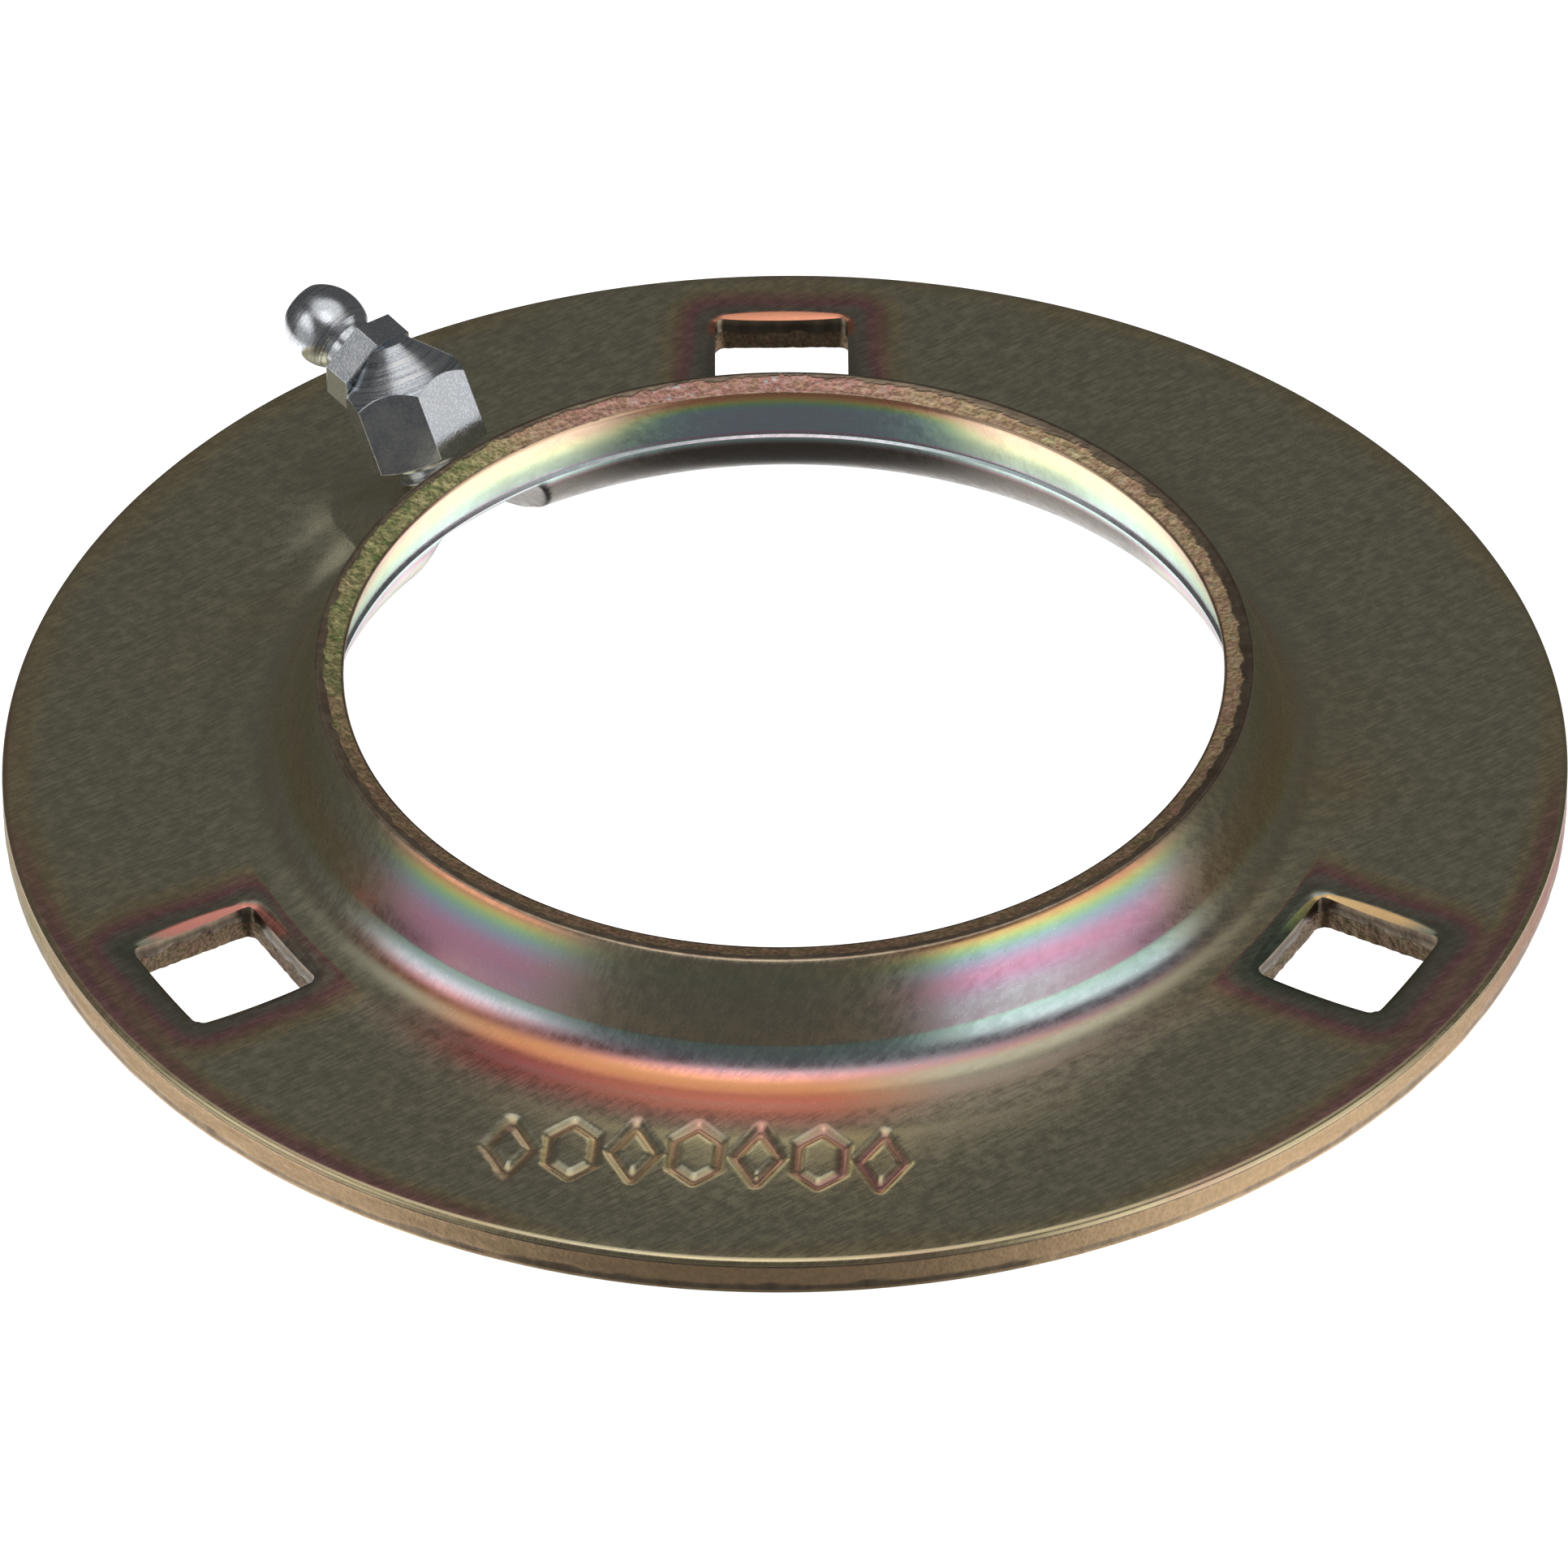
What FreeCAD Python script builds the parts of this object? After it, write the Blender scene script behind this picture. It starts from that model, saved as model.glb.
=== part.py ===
import FreeCAD, Part
import math
import os
import re
import Sketcher

# Pressed round flange half for a spherical bearing ring, with an angled grease fitting.
# Frame: origin on the bore axis in the plane of the flat back face, +Z towards the collar's lip,
# +Y through the middle of one square bolt hole.  Millimetres and degrees.

os.makedirs("parts", exist_ok=True)
doc = FreeCAD.newDocument("flange_half")

SIZES = {
    # plate
    "rim_radius": 61.0,
    "plate_thickness": 3.2,
    "edge_roll": 0.5,
    "bolt_circle_radius": 50.0,
    "square_side": 10.6,
    "square_corner": 0.8,
    "bolt_count": 3,
    # collar: spherical seat, lip and the bend that joins them to the plate
    "seat_radius": 36.2,
    "bend_radius": 7.5,
    "lip_inner_height": 12.0,
    "lip_outer_height": 12.5,
    "lip_outer_radius": 36.4,
    "wall_radius": 39.0,
    # sloping pad on the top and grease pocket under it
    "fitting_azimuth": 131.0,
    "fitting_tilt": 30.0,
    "pad_foot": 47.3,
    "pad_start": 37.4,
    "pad_end": 47.7,
    "pad_half_width": 6.4,
    "pocket_half_width": 5.2,
    "pocket_start": 30.0,
    "pocket_end": 46.3,
    "flank_angle": 60.0,
    "loft_base": 2.0,
    "pocket_depth_below": 1.0,
    "pad_edge": 0.8,
    # fitting: hexagonal elbow body
    "fitting_foot": 41.6,
    "tapped_depth": 4.4,
    "tapped_clear": 2.0,
    "standoff": 1.9,
    "fitting_turn": 7.0,
    "body_flats": 9.1,
    "body_turn": 30.0,
    "body_corner_height": 5.7,
    "body_height": 9.4,
    "base_chamfer": 0.3,
    "thread_radius": 3.0,
    "thread_pitch": 1.0,
    "thread_depth": 0.5,
    "thread_crest": 0.05,
    "thread_grooves": 5,
    "shank_length": 5.6,
    "grease_radius": 1.0,
    "junction_height": 4.7,
    "head_angle": 45.0,
    "spotface_radius": 4.1,
    "socket_radius": 2.4,
    "socket_start": 0.9,
    # fitting: nipple head, measured along its own axis from where the two axes meet
    "neck_start": 3.4,
    "neck_end": 5.75,
    "neck_flats": 6.8,
    "neck_turn": 41.0,
    "undercut_radius": 2.3,
    "undercut_end": 6.9,
    "bulb_start": 7.4,
    "bulb_start_radius": 2.75,
    "bulb_arc_radius": 4.03,
    "tip_radius": 2.0,
    "tip_at": 12.0,
    "tip_hole_radius": 0.8,
    "tip_hole_depth": 0.3,
    "chamber_radius": 1.3,
    "chamber_taper": 0.2,
    "chamber_start": 6.0,
    "passage_radius": 0.6,
    # check valve
    "ball_radius": 1.0,
    "ball_gap": 0.01,
    "spring_radius": 0.85,
    "spring_wire_radius": 0.12,
    "spring_turns": 6,
    # how far a cutting outline reaches past the surface it cuts
    "cut_clear": 1.0,
}

sheet = doc.addObject("Spreadsheet::Sheet", "dims")
for row, (word, value) in enumerate(SIZES.items(), start=1):
    sheet.set("A%d" % row, word)
    sheet.set("B%d" % row, str(value))
    sheet.setAlias("B%d" % row, word)
doc.recompute()

TOUCH = 0.01  # two lengths closer than this are the same when edges are picked out
WORDS = re.compile(r"\b(" + "|".join(sorted(SIZES, key=len, reverse=True)) + r")\b")


def linked(formula):
    """The formula with every size word pointing at its cell in the sheet."""
    return WORDS.sub(r"dims.\1", formula)


def bind(thing, prop, formula):
    thing.setExpression(prop, linked(formula))


def size(word):
    return float(getattr(sheet, word))


def new_body(label):
    body = doc.addObject("PartDesign::Body", label)
    body.Label = label
    return body


def new_sketch(body, name, plane, lift=None, turn=None):
    """A sketch on one of the body's own planes, lifted along its normal or turned about it."""
    sketch = body.newObject("Sketcher::SketchObject", name)
    face = [f for f in body.Origin.OriginFeatures if f.Role == plane][0]
    sketch.AttachmentSupport = [(face, "")]
    sketch.MapMode = "FlatFace"
    if turn:
        sketch.AttachmentOffset = FreeCAD.Placement(
            FreeCAD.Vector(), FreeCAD.Rotation(FreeCAD.Vector(0, 0, 1), 1))
        bind(sketch, ".AttachmentOffset.Rotation.Angle", turn)
    if lift:
        bind(sketch, ".AttachmentOffset.Base.z", lift)
    return sketch


def point(x, y):
    return FreeCAD.Vector(x, y, 0)


def fix_distance(sketch, kind, geo, end, value, formula):
    """Tie one end of a line or arc, along X or Y from the sketch's origin, to sizes in the sheet."""
    at = sketch.addConstraint(Sketcher.Constraint(kind, -1, 1, geo, end, value))
    bind(sketch, "Constraints[%d]" % at, formula)


def fix_radius(sketch, geo, formula):
    value = sketch.Geometry[geo].Radius
    at = sketch.addConstraint(Sketcher.Constraint("Radius", geo, value))
    bind(sketch, "Constraints[%d]" % at, formula)


def polygon(sketch, corners):
    """A closed outline of straight lines; corners are (x, y, x formula, y formula)."""
    count = len(corners)
    first = sketch.GeometryCount
    for k in range(count):
        a = corners[k]
        b = corners[(k + 1) % count]
        sketch.addGeometry(Part.LineSegment(point(a[0], a[1]), point(b[0], b[1])), False)
    for k in range(count):
        sketch.addConstraint(
            Sketcher.Constraint("Coincident", first + k, 2, first + (k + 1) % count, 1))
    for k, (x, y, x_formula, y_formula) in enumerate(corners):
        fix_distance(sketch, "DistanceX", first + k, 1, x, x_formula)
        fix_distance(sketch, "DistanceY", first + k, 1, y, y_formula)


def revolve(body, kind, name, sketch, axis="V_Axis"):
    feature = body.newObject(kind, name)
    feature.Profile = sketch
    feature.ReferenceAxis = (sketch, [axis])
    feature.Angle = 360
    return feature


def hexagon(sketch, flats, turn):
    """A hexagon about the sketch's origin, one corner turned by the given angle from its X axis."""
    reach = size(flats) / math.sqrt(3)
    corners = []
    for k in range(6):
        step = 60 * k
        angle = math.radians(size(turn) + step)
        turned = "((%s + %d) * 1 deg)" % (turn, step)
        corners.append((
            reach * math.cos(angle),
            reach * math.sin(angle),
            "%s / sqrt(3) * cos(%s)" % (flats, turned),
            "%s / sqrt(3) * sin(%s)" % (flats, turned),
        ))
    polygon(sketch, corners)


# ---------------------------------------------------------------- flange plate
# Built with the fitting's direction along its own +X, then turned into place.

def plate_profile(body):
    """Half section: rim, rolled edge, top, root fillet, outer wall, lip, seat, bend, back face."""
    t = size("plate_thickness")
    rim = size("rim_radius")
    roll = size("edge_roll")
    seat = size("seat_radius")
    bend = size("bend_radius")
    fillet = bend - t
    middle = math.sqrt((seat + bend) ** 2 - bend ** 2)
    lip_in = math.sqrt(seat ** 2 - size("lip_inner_height") ** 2)
    lip_out = size("lip_outer_radius")
    top = size("lip_outer_height")
    touch = math.atan2(bend, middle)
    wall = size("wall_radius")
    # circle of the outer wall: through the lip's outer edge, touching the root fillet from outside
    gap = math.hypot(middle - lip_out, bend - top)
    reach = wall + fillet
    lean = math.acos((gap ** 2 + wall ** 2 - reach ** 2) / (2 * gap * wall))
    aim = math.atan2(bend - top, middle - lip_out) - lean
    wall_x = lip_out + wall * math.cos(aim)
    wall_y = top + wall * math.sin(aim)
    meet = math.atan2(bend - wall_y, middle - wall_x)
    wall_start_angle = math.atan2(top - wall_y, lip_out - wall_x)

    sketch = new_sketch(body, "plate_profile", "XZ_Plane")
    up = FreeCAD.Vector(0, 0, 1)

    def arc(x, y, r, start, end):
        return Part.ArcOfCircle(Part.Circle(point(x, y), up, r), start, end)

    def line(x1, y1, x2, y2):
        return Part.LineSegment(point(x1, y1), point(x2, y2))

    half = math.pi / 2
    shapes = [
        line(rim, 0, rim, t - roll),
        arc(rim - roll, t - roll, roll, 0, half),
        line(rim - roll, t, middle, t),
        arc(middle, bend, fillet, meet + math.pi, 3 * half),
        arc(wall_x, wall_y, wall, meet, wall_start_angle),
        line(lip_out, top, lip_in, size("lip_inner_height")),
        arc(0, 0, seat, touch, math.atan2(size("lip_inner_height"), lip_in)),
        arc(middle, bend, bend, touch + math.pi, 3 * half),
        line(middle, 0, rim, 0),
    ]
    for shape in shapes:
        sketch.addGeometry(shape, False)
    rim_line, roll_arc, top_line, fillet_arc, wall_arc, lip_line, seat_arc, bend_arc, back_line = range(9)
    joined = [
        ("Tangent", rim_line, 2, roll_arc, 1),
        ("Tangent", roll_arc, 2, top_line, 1),
        ("Tangent", top_line, 2, fillet_arc, 2),
        ("Tangent", fillet_arc, 1, wall_arc, 1),
        ("Coincident", wall_arc, 2, lip_line, 1),
        ("Coincident", lip_line, 2, seat_arc, 2),
        ("Tangent", seat_arc, 1, bend_arc, 1),
        ("Tangent", bend_arc, 2, back_line, 1),
        ("Coincident", back_line, 2, rim_line, 1),
        ("Coincident", bend_arc, 3, fillet_arc, 3),
        ("Coincident", seat_arc, 3, -1, 1),
    ]
    for kind, first, first_end, second, second_end in joined:
        sketch.addConstraint(Sketcher.Constraint(kind, first, first_end, second, second_end))
    sketch.addConstraint(Sketcher.Constraint("Vertical", rim_line))
    sketch.addConstraint(Sketcher.Constraint("Horizontal", top_line))
    sketch.addConstraint(Sketcher.Constraint("PointOnObject", back_line, 1, -1))
    sketch.addConstraint(Sketcher.Constraint("PointOnObject", back_line, 2, -1))
    fix_radius(sketch, roll_arc, "edge_roll")
    fix_radius(sketch, seat_arc, "seat_radius")
    fix_radius(sketch, bend_arc, "bend_radius")
    fix_radius(sketch, wall_arc, "wall_radius")
    fix_distance(sketch, "DistanceX", rim_line, 1, rim, "rim_radius")
    fix_distance(sketch, "DistanceY", top_line, 1, t, "plate_thickness")
    fix_distance(sketch, "DistanceX", lip_line, 1, lip_out, "lip_outer_radius")
    fix_distance(sketch, "DistanceY", lip_line, 1, top, "lip_outer_height")
    fix_distance(sketch, "DistanceY", lip_line, 2, size("lip_inner_height"), "lip_inner_height")
    return sketch


def square_outline(body):
    """One square bolt hole with rounded corners, square to the line from the bore axis."""
    sketch = new_sketch(body, "square_outline", "XY_Plane", turn="90 - fitting_azimuth")
    middle = size("bolt_circle_radius")
    half = size("square_side") / 2
    corner = size("square_corner")
    flat = half - corner
    sides = ((1, 0), (0, 1), (-1, 0), (0, -1))
    up = FreeCAD.Vector(0, 0, 1)
    for k, (ox, oy) in enumerate(sides):
        start = point(middle + ox * half + oy * flat, oy * half - ox * flat)
        end = point(middle + ox * half - oy * flat, oy * half + ox * flat)
        sketch.addGeometry(Part.LineSegment(start, end), False)
        nx, ny = sides[(k + 1) % 4]
        centre = point(middle + (ox + nx) * flat, (oy + ny) * flat)
        begin = math.radians(90 * k)
        sketch.addGeometry(
            Part.ArcOfCircle(Part.Circle(centre, up, corner), begin, begin + math.pi / 2), False)
    for k in range(4):
        line = 2 * k
        arc = 2 * k + 1
        after = (2 * k + 2) % 8
        sketch.addConstraint(Sketcher.Constraint("Tangent", line, 2, arc, 1))
        sketch.addConstraint(Sketcher.Constraint("Tangent", arc, 2, after, 1))
        fix_radius(sketch, arc, "square_corner")
    outer, left, inner, right = 0, 2, 4, 6
    sketch.addConstraint(Sketcher.Constraint("Vertical", outer))
    sketch.addConstraint(Sketcher.Constraint("Vertical", inner))
    sketch.addConstraint(Sketcher.Constraint("Horizontal", left))
    sketch.addConstraint(Sketcher.Constraint("Horizontal", right))
    fix_distance(sketch, "DistanceX", outer, 1, middle + half, "bolt_circle_radius + square_side / 2")
    fix_distance(sketch, "DistanceX", inner, 1, middle - half, "bolt_circle_radius - square_side / 2")
    fix_distance(sketch, "DistanceY", left, 1, half, "square_side / 2")
    fix_distance(sketch, "DistanceY", right, 1, -half, "-square_side / 2")
    return sketch


def trapezium(body, name, lift, low, top, half_width):
    """A cross-section of the pad or pocket: flat top, sides leaning at the flank angle."""
    sketch = new_sketch(body, name, "YZ_Plane", lift=lift)
    spread = (top[0] - low[0]) / math.tan(math.radians(size("flank_angle")))
    top_wide = size(half_width)
    low_wide = top_wide + spread
    formula = "(%s + ((%s) - (%s)) / tan(flank_angle * 1 deg))" % (half_width, top[1], low[1])
    polygon(sketch, [
        (-low_wide, low[0], "-" + formula, low[1]),
        (low_wide, low[0], formula, low[1]),
        (top_wide, top[0], half_width, top[1]),
        (-top_wide, top[0], "-" + half_width, top[1]),
    ])
    return sketch


def slope(at):
    """Height of the pad's sloping face at this distance from the bore axis, as value and formula."""
    rise = math.tan(math.radians(size("fitting_tilt")))
    value = size("plate_thickness") + (size("pad_foot") - size(at)) * rise
    return value, "plate_thickness + (pad_foot - %s) * tan(fitting_tilt * 1 deg)" % at


def pocket_roof(at):
    """The pocket's roof runs one plate thickness under the sloping face."""
    value, formula = slope(at)
    drop = size("plate_thickness") / math.cos(math.radians(size("fitting_tilt")))
    return value - drop, formula + " - plate_thickness / cos(fitting_tilt * 1 deg)"


def loft(body, kind, name, sections):
    feature = body.newObject(kind, name)
    feature.Profile = sections[0]
    feature.Sections = sections[1:]
    feature.Ruled = True
    return feature


def round_edges(body, name, radius, wanted):
    """Round those edges of the body's last feature that the test picks."""
    base = body.Tip
    names = []
    for number, edge in enumerate(base.Shape.Edges, start=1):
        if wanted(edge):
            names.append("Edge%d" % number)
    feature = body.newObject("PartDesign::Fillet", name)
    feature.Base = (base, names)
    bind(feature, "Radius", radius)
    doc.recompute()
    return feature


def near(a, b):
    return math.isclose(a, b, abs_tol=TOUCH)


def on_hole_rim(edge):
    """An edge of a square hole in the plate's top face."""
    box = edge.BoundBox
    level = near(box.ZMin, size("plate_thickness")) and near(box.ZMax, size("plate_thickness"))
    reach = math.hypot(edge.CenterOfMass.x, edge.CenterOfMass.y)
    half_hole = size("square_side") / 2 + size("square_corner")
    inside = abs(reach - size("bolt_circle_radius")) < half_hole
    away_from_pad = edge.CenterOfMass.x < size("pad_start")
    return level and inside and away_from_pad


def on_pad_edge(edge):
    """One of the two long upper edges of the pad, which climb towards the collar."""
    middle = edge.CenterOfMass
    climbs = edge.BoundBox.ZLength > size("plate_thickness")
    return near(abs(middle.y), size("pad_half_width")) and climbs and middle.z > size("plate_thickness")


def tapped_hole(body):
    """Hole through the pad, square to its sloping face, cut by turning a half section."""
    sketch = new_sketch(body, "tapped_section", "XZ_Plane")
    tilt = math.radians(size("fitting_tilt"))
    foot, foot_formula = slope("fitting_foot")
    ends = ((-size("tapped_depth"), "-tapped_depth"), (size("tapped_clear"), "tapped_clear"))
    widths = ((0.0, "0"), (size("thread_radius"), "thread_radius"))

    def corner(along, across):
        x = size("fitting_foot") + along[0] * math.sin(tilt) + across[0] * math.cos(tilt)
        y = foot + along[0] * math.cos(tilt) - across[0] * math.sin(tilt)
        x_formula = "fitting_foot + (%s) * sin(fitting_tilt * 1 deg) + %s * cos(fitting_tilt * 1 deg)"
        y_formula = foot_formula + " + (%s) * cos(fitting_tilt * 1 deg) - %s * sin(fitting_tilt * 1 deg)"
        return x, y, x_formula % (along[1], across[1]), y_formula % (along[1], across[1])

    corners = [
        corner(ends[0], widths[0]),
        corner(ends[1], widths[0]),
        corner(ends[1], widths[1]),
        corner(ends[0], widths[1]),
    ]
    polygon(sketch, corners)
    axis = Part.LineSegment(point(corners[0][0], corners[0][1]), point(corners[1][0], corners[1][1]))
    line = sketch.addGeometry(axis, True)
    sketch.addConstraint(Sketcher.Constraint("Coincident", line, 1, 0, 1))
    sketch.addConstraint(Sketcher.Constraint("Coincident", line, 2, 0, 2))
    doc.recompute()
    return revolve(body, "PartDesign::Groove", "tapped_hole", sketch, "Axis0")


def build_flange():
    """The stamping: turned plate and collar, pad, grease pocket, bolt holes, tapped hole."""
    body = new_body("flange_plate")
    revolve(body, "PartDesign::Revolution", "plate_turned", plate_profile(body))
    doc.recompute()

    low = (size("loft_base"), "loft_base")
    loft(body, "PartDesign::AdditiveLoft", "pad", [
        trapezium(body, "pad_inner", "pad_start", low, slope("pad_start"), "pad_half_width"),
        trapezium(body, "pad_outer", "pad_end", low, slope("pad_end"), "pad_half_width"),
    ])
    doc.recompute()
    round_edges(body, "pad_edges", "pad_edge", on_pad_edge)

    below = (-size("pocket_depth_below"), "-pocket_depth_below")
    loft(body, "PartDesign::SubtractiveLoft", "grease_pocket", [
        trapezium(body, "pocket_inner", "pocket_start", below,
                  pocket_roof("pocket_start"), "pocket_half_width"),
        trapezium(body, "pocket_outer", "pocket_end", below,
                  pocket_roof("pocket_end"), "pocket_half_width"),
    ])
    doc.recompute()
    tapped_hole(body)
    doc.recompute()

    outline = square_outline(body)
    hole = body.newObject("PartDesign::Pocket", "square_hole")
    hole.Profile = outline
    hole.Type = "ThroughAll"
    hole.Reversed = True
    doc.recompute()
    pattern = body.newObject("PartDesign::PolarPattern", "square_holes")
    pattern.Originals = [hole]
    axis = [f for f in body.Origin.OriginFeatures if f.Role == "Z_Axis"][0]
    pattern.Axis = (axis, [""])
    pattern.Angle = 360
    bind(pattern, "Occurrences", "bolt_count")
    body.Tip = pattern
    doc.recompute()
    round_edges(body, "square_hole_roll", "edge_roll", on_hole_rim)
    bind(body, ".Placement.Rotation.Angle", "fitting_azimuth * 1 deg")
    return body


# ---------------------------------------------------------------- grease fitting
# The elbow body's own frame: origin at the middle of the hexagon's underside, +Z up the body,
# and the nipple head in the XZ plane.

def fitting_frame():
    """Where the elbow body sits: square to the pad, the standoff above it, turned on its thread."""
    tilt = math.radians(size("fitting_tilt"))
    foot, _ = slope("fitting_foot")
    seat = FreeCAD.Vector(
        size("fitting_foot") + size("standoff") * math.sin(tilt),
        0,
        foot + size("standoff") * math.cos(tilt))
    z_axis = FreeCAD.Vector(0, 0, 1)
    y_axis = FreeCAD.Vector(0, 1, 0)
    around = FreeCAD.Placement(FreeCAD.Vector(), FreeCAD.Rotation(z_axis, size("fitting_azimuth")))
    leaning = FreeCAD.Placement(seat, FreeCAD.Rotation(y_axis, size("fitting_tilt")))
    turned = FreeCAD.Placement(FreeCAD.Vector(), FreeCAD.Rotation(z_axis, size("fitting_turn")))
    return around.multiply(leaning).multiply(turned)


def head_frame(along=0.0):
    """The nipple head's frame: origin where the two axes meet, +Z out along the head."""
    bend = FreeCAD.Placement(
        FreeCAD.Vector(0, 0, size("junction_height")),
        FreeCAD.Rotation(FreeCAD.Vector(0, 1, 0), size("head_angle")))
    slide = FreeCAD.Placement(FreeCAD.Vector(0, 0, along), FreeCAD.Rotation())
    return fitting_frame().multiply(bend).multiply(slide)


BODY_REACH = "body_flats / sqrt(3)"  # from the axis to a corner of the hexagon


def cut_profile(body, kind, name, corners):
    """A straight-sided half section on the XZ plane, turned about the body's own Z axis."""
    sketch = new_sketch(body, name + "_section", "XZ_Plane")
    polygon(sketch, corners)
    doc.recompute()
    feature = revolve(body, kind, name, sketch)
    doc.recompute()
    return feature


def corner_at(x, x_formula, y, y_formula):
    return x, y, x_formula, y_formula


def hexagonal_pad(body, name, flats, turn, start, length):
    sketch = new_sketch(body, name + "_outline", "XY_Plane", lift=start)
    hexagon(sketch, flats, turn)
    feature = body.newObject("PartDesign::Pad", name)
    feature.Profile = sketch
    bind(feature, "Length", length)
    doc.recompute()
    return feature


def round_feature(body, kind, name, radius, start, length, downward):
    """A round boss or drilling on the body's own Z axis."""
    sketch = new_sketch(body, name + "_outline", "XY_Plane", lift=start)
    circle = Part.Circle(point(0, 0), FreeCAD.Vector(0, 0, 1), size(radius))
    sketch.addGeometry(circle, False)
    sketch.addConstraint(Sketcher.Constraint("Coincident", 0, 3, -1, 1))
    fix_radius(sketch, 0, radius)
    feature = body.newObject(kind, name)
    feature.Profile = sketch
    bind(feature, "Length", length)
    # a pad grows along the sketch's normal and a pocket cuts against it
    grows_up = kind.endswith("Pad")
    feature.Reversed = downward if grows_up else not downward
    doc.recompute()
    return feature


def tilted_cut(body, name, radius, start, length):
    """A round cut along the head's axis, from start to start plus length beyond the junction."""
    sketch = new_sketch(body, name + "_section", "XZ_Plane")
    angle = math.radians(size("head_angle"))

    def corner(along, along_formula, across, across_formula):
        x = along * math.sin(angle) + across * math.cos(angle)
        y = size("junction_height") + along * math.cos(angle) - across * math.sin(angle)
        x_formula = "(%s) * sin(head_angle * 1 deg) + %s * cos(head_angle * 1 deg)"
        y_formula = "junction_height + (%s) * cos(head_angle * 1 deg) - %s * sin(head_angle * 1 deg)"
        words = (along_formula, across_formula)
        return x, y, x_formula % words, y_formula % words

    near_end = (size(start), start)
    far_end = (size(start) + size(length), "%s + %s" % (start, length))
    corners = [
        corner(near_end[0], near_end[1], 0.0, "0"),
        corner(far_end[0], far_end[1], 0.0, "0"),
        corner(far_end[0], far_end[1], size(radius), radius),
        corner(near_end[0], near_end[1], size(radius), radius),
    ]
    polygon(sketch, corners)
    axis = Part.LineSegment(point(corners[0][0], corners[0][1]), point(corners[1][0], corners[1][1]))
    line = sketch.addGeometry(axis, True)
    sketch.addConstraint(Sketcher.Constraint("Coincident", line, 1, 0, 1))
    sketch.addConstraint(Sketcher.Constraint("Coincident", line, 2, 0, 2))
    doc.recompute()
    feature = revolve(body, "PartDesign::Groove", name, sketch, "Axis0")
    doc.recompute()
    return feature


def cut_cone(body):
    """Turn the top of the hexagon down to a cone at forty-five degrees."""
    reach = size("body_flats") / math.sqrt(3)
    clear = size("cut_clear")
    low = size("body_corner_height")
    top = size("body_height")
    narrow = reach - (top - low)
    outside_formula = BODY_REACH + " + cut_clear"
    narrow_formula = BODY_REACH + " - (body_height - body_corner_height)"
    cut_profile(body, "PartDesign::Groove", "cone", [
        corner_at(reach, BODY_REACH, low, "body_corner_height"),
        corner_at(reach + clear, outside_formula, low, "body_corner_height"),
        corner_at(reach + clear, outside_formula, top + clear, "body_height + cut_clear"),
        corner_at(narrow, narrow_formula, top + clear, "body_height + cut_clear"),
        corner_at(narrow, narrow_formula, top, "body_height"),
    ])


def cut_base_edge(body):
    """Chamfer the hexagon's lower corners."""
    reach = size("body_flats") / math.sqrt(3)
    clear = size("cut_clear")
    chamfer = size("base_chamfer")
    inner = reach - 2 * chamfer
    inner_formula = BODY_REACH + " - 2 * base_chamfer"
    outside_formula = BODY_REACH + " + cut_clear"
    cut_profile(body, "PartDesign::Groove", "base_edge", [
        corner_at(inner, inner_formula, -clear, "-cut_clear"),
        corner_at(reach + clear, outside_formula, -clear, "-cut_clear"),
        corner_at(reach + clear, outside_formula, chamfer, "base_chamfer"),
        corner_at(reach, BODY_REACH, chamfer, "base_chamfer"),
        corner_at(inner, inner_formula, 0, "0"),
    ])


def cut_thread(body):
    """V-shaped grooves one pitch apart along the shank."""
    crest = size("thread_radius")
    root = crest - size("thread_depth")
    pitch = size("thread_pitch")
    outside = crest + size("cut_clear")
    low = -size("shank_length")
    first = low + size("thread_crest")
    last = low + pitch - size("thread_crest")
    first_formula = "-shank_length + thread_crest"
    last_formula = "-shank_length + thread_pitch - thread_crest"
    groove = cut_profile(body, "PartDesign::Groove", "thread_groove", [
        corner_at(root, "thread_radius - thread_depth", low + pitch / 2, "-shank_length + thread_pitch / 2"),
        corner_at(crest, "thread_radius", first, first_formula),
        corner_at(outside, "thread_radius + cut_clear", first, first_formula),
        corner_at(outside, "thread_radius + cut_clear", last, last_formula),
        corner_at(crest, "thread_radius", last, last_formula),
    ])
    grooves = body.newObject("PartDesign::LinearPattern", "thread")
    grooves.Originals = [groove]
    axis = [f for f in body.Origin.OriginFeatures if f.Role == "Z_Axis"][0]
    grooves.Direction = (axis, [""])
    bind(grooves, "Length", "(thread_grooves - 1) * thread_pitch")
    bind(grooves, "Occurrences", "thread_grooves")
    body.Tip = grooves
    doc.recompute()


def build_elbow():
    """Hexagonal body with a turned cone on top, threaded shank below, drilled for grease."""
    body = new_body("elbow_body")
    hexagonal_pad(body, "hexagon", "body_flats", "body_turn", "0", "body_height")
    cut_cone(body)
    cut_base_edge(body)
    round_feature(body, "PartDesign::Pad", "shank", "thread_radius", "0", "shank_length", True)
    cut_thread(body)
    tilted_cut(body, "spotface", "spotface_radius", "neck_start", "body_height")
    tilted_cut(body, "socket", "socket_radius", "socket_start", "body_height")
    round_feature(body, "PartDesign::Pocket", "grease_way", "grease_radius",
                  "-shank_length", "shank_length + junction_height + grease_radius", False)
    body.Placement = fitting_frame()
    return body


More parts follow.
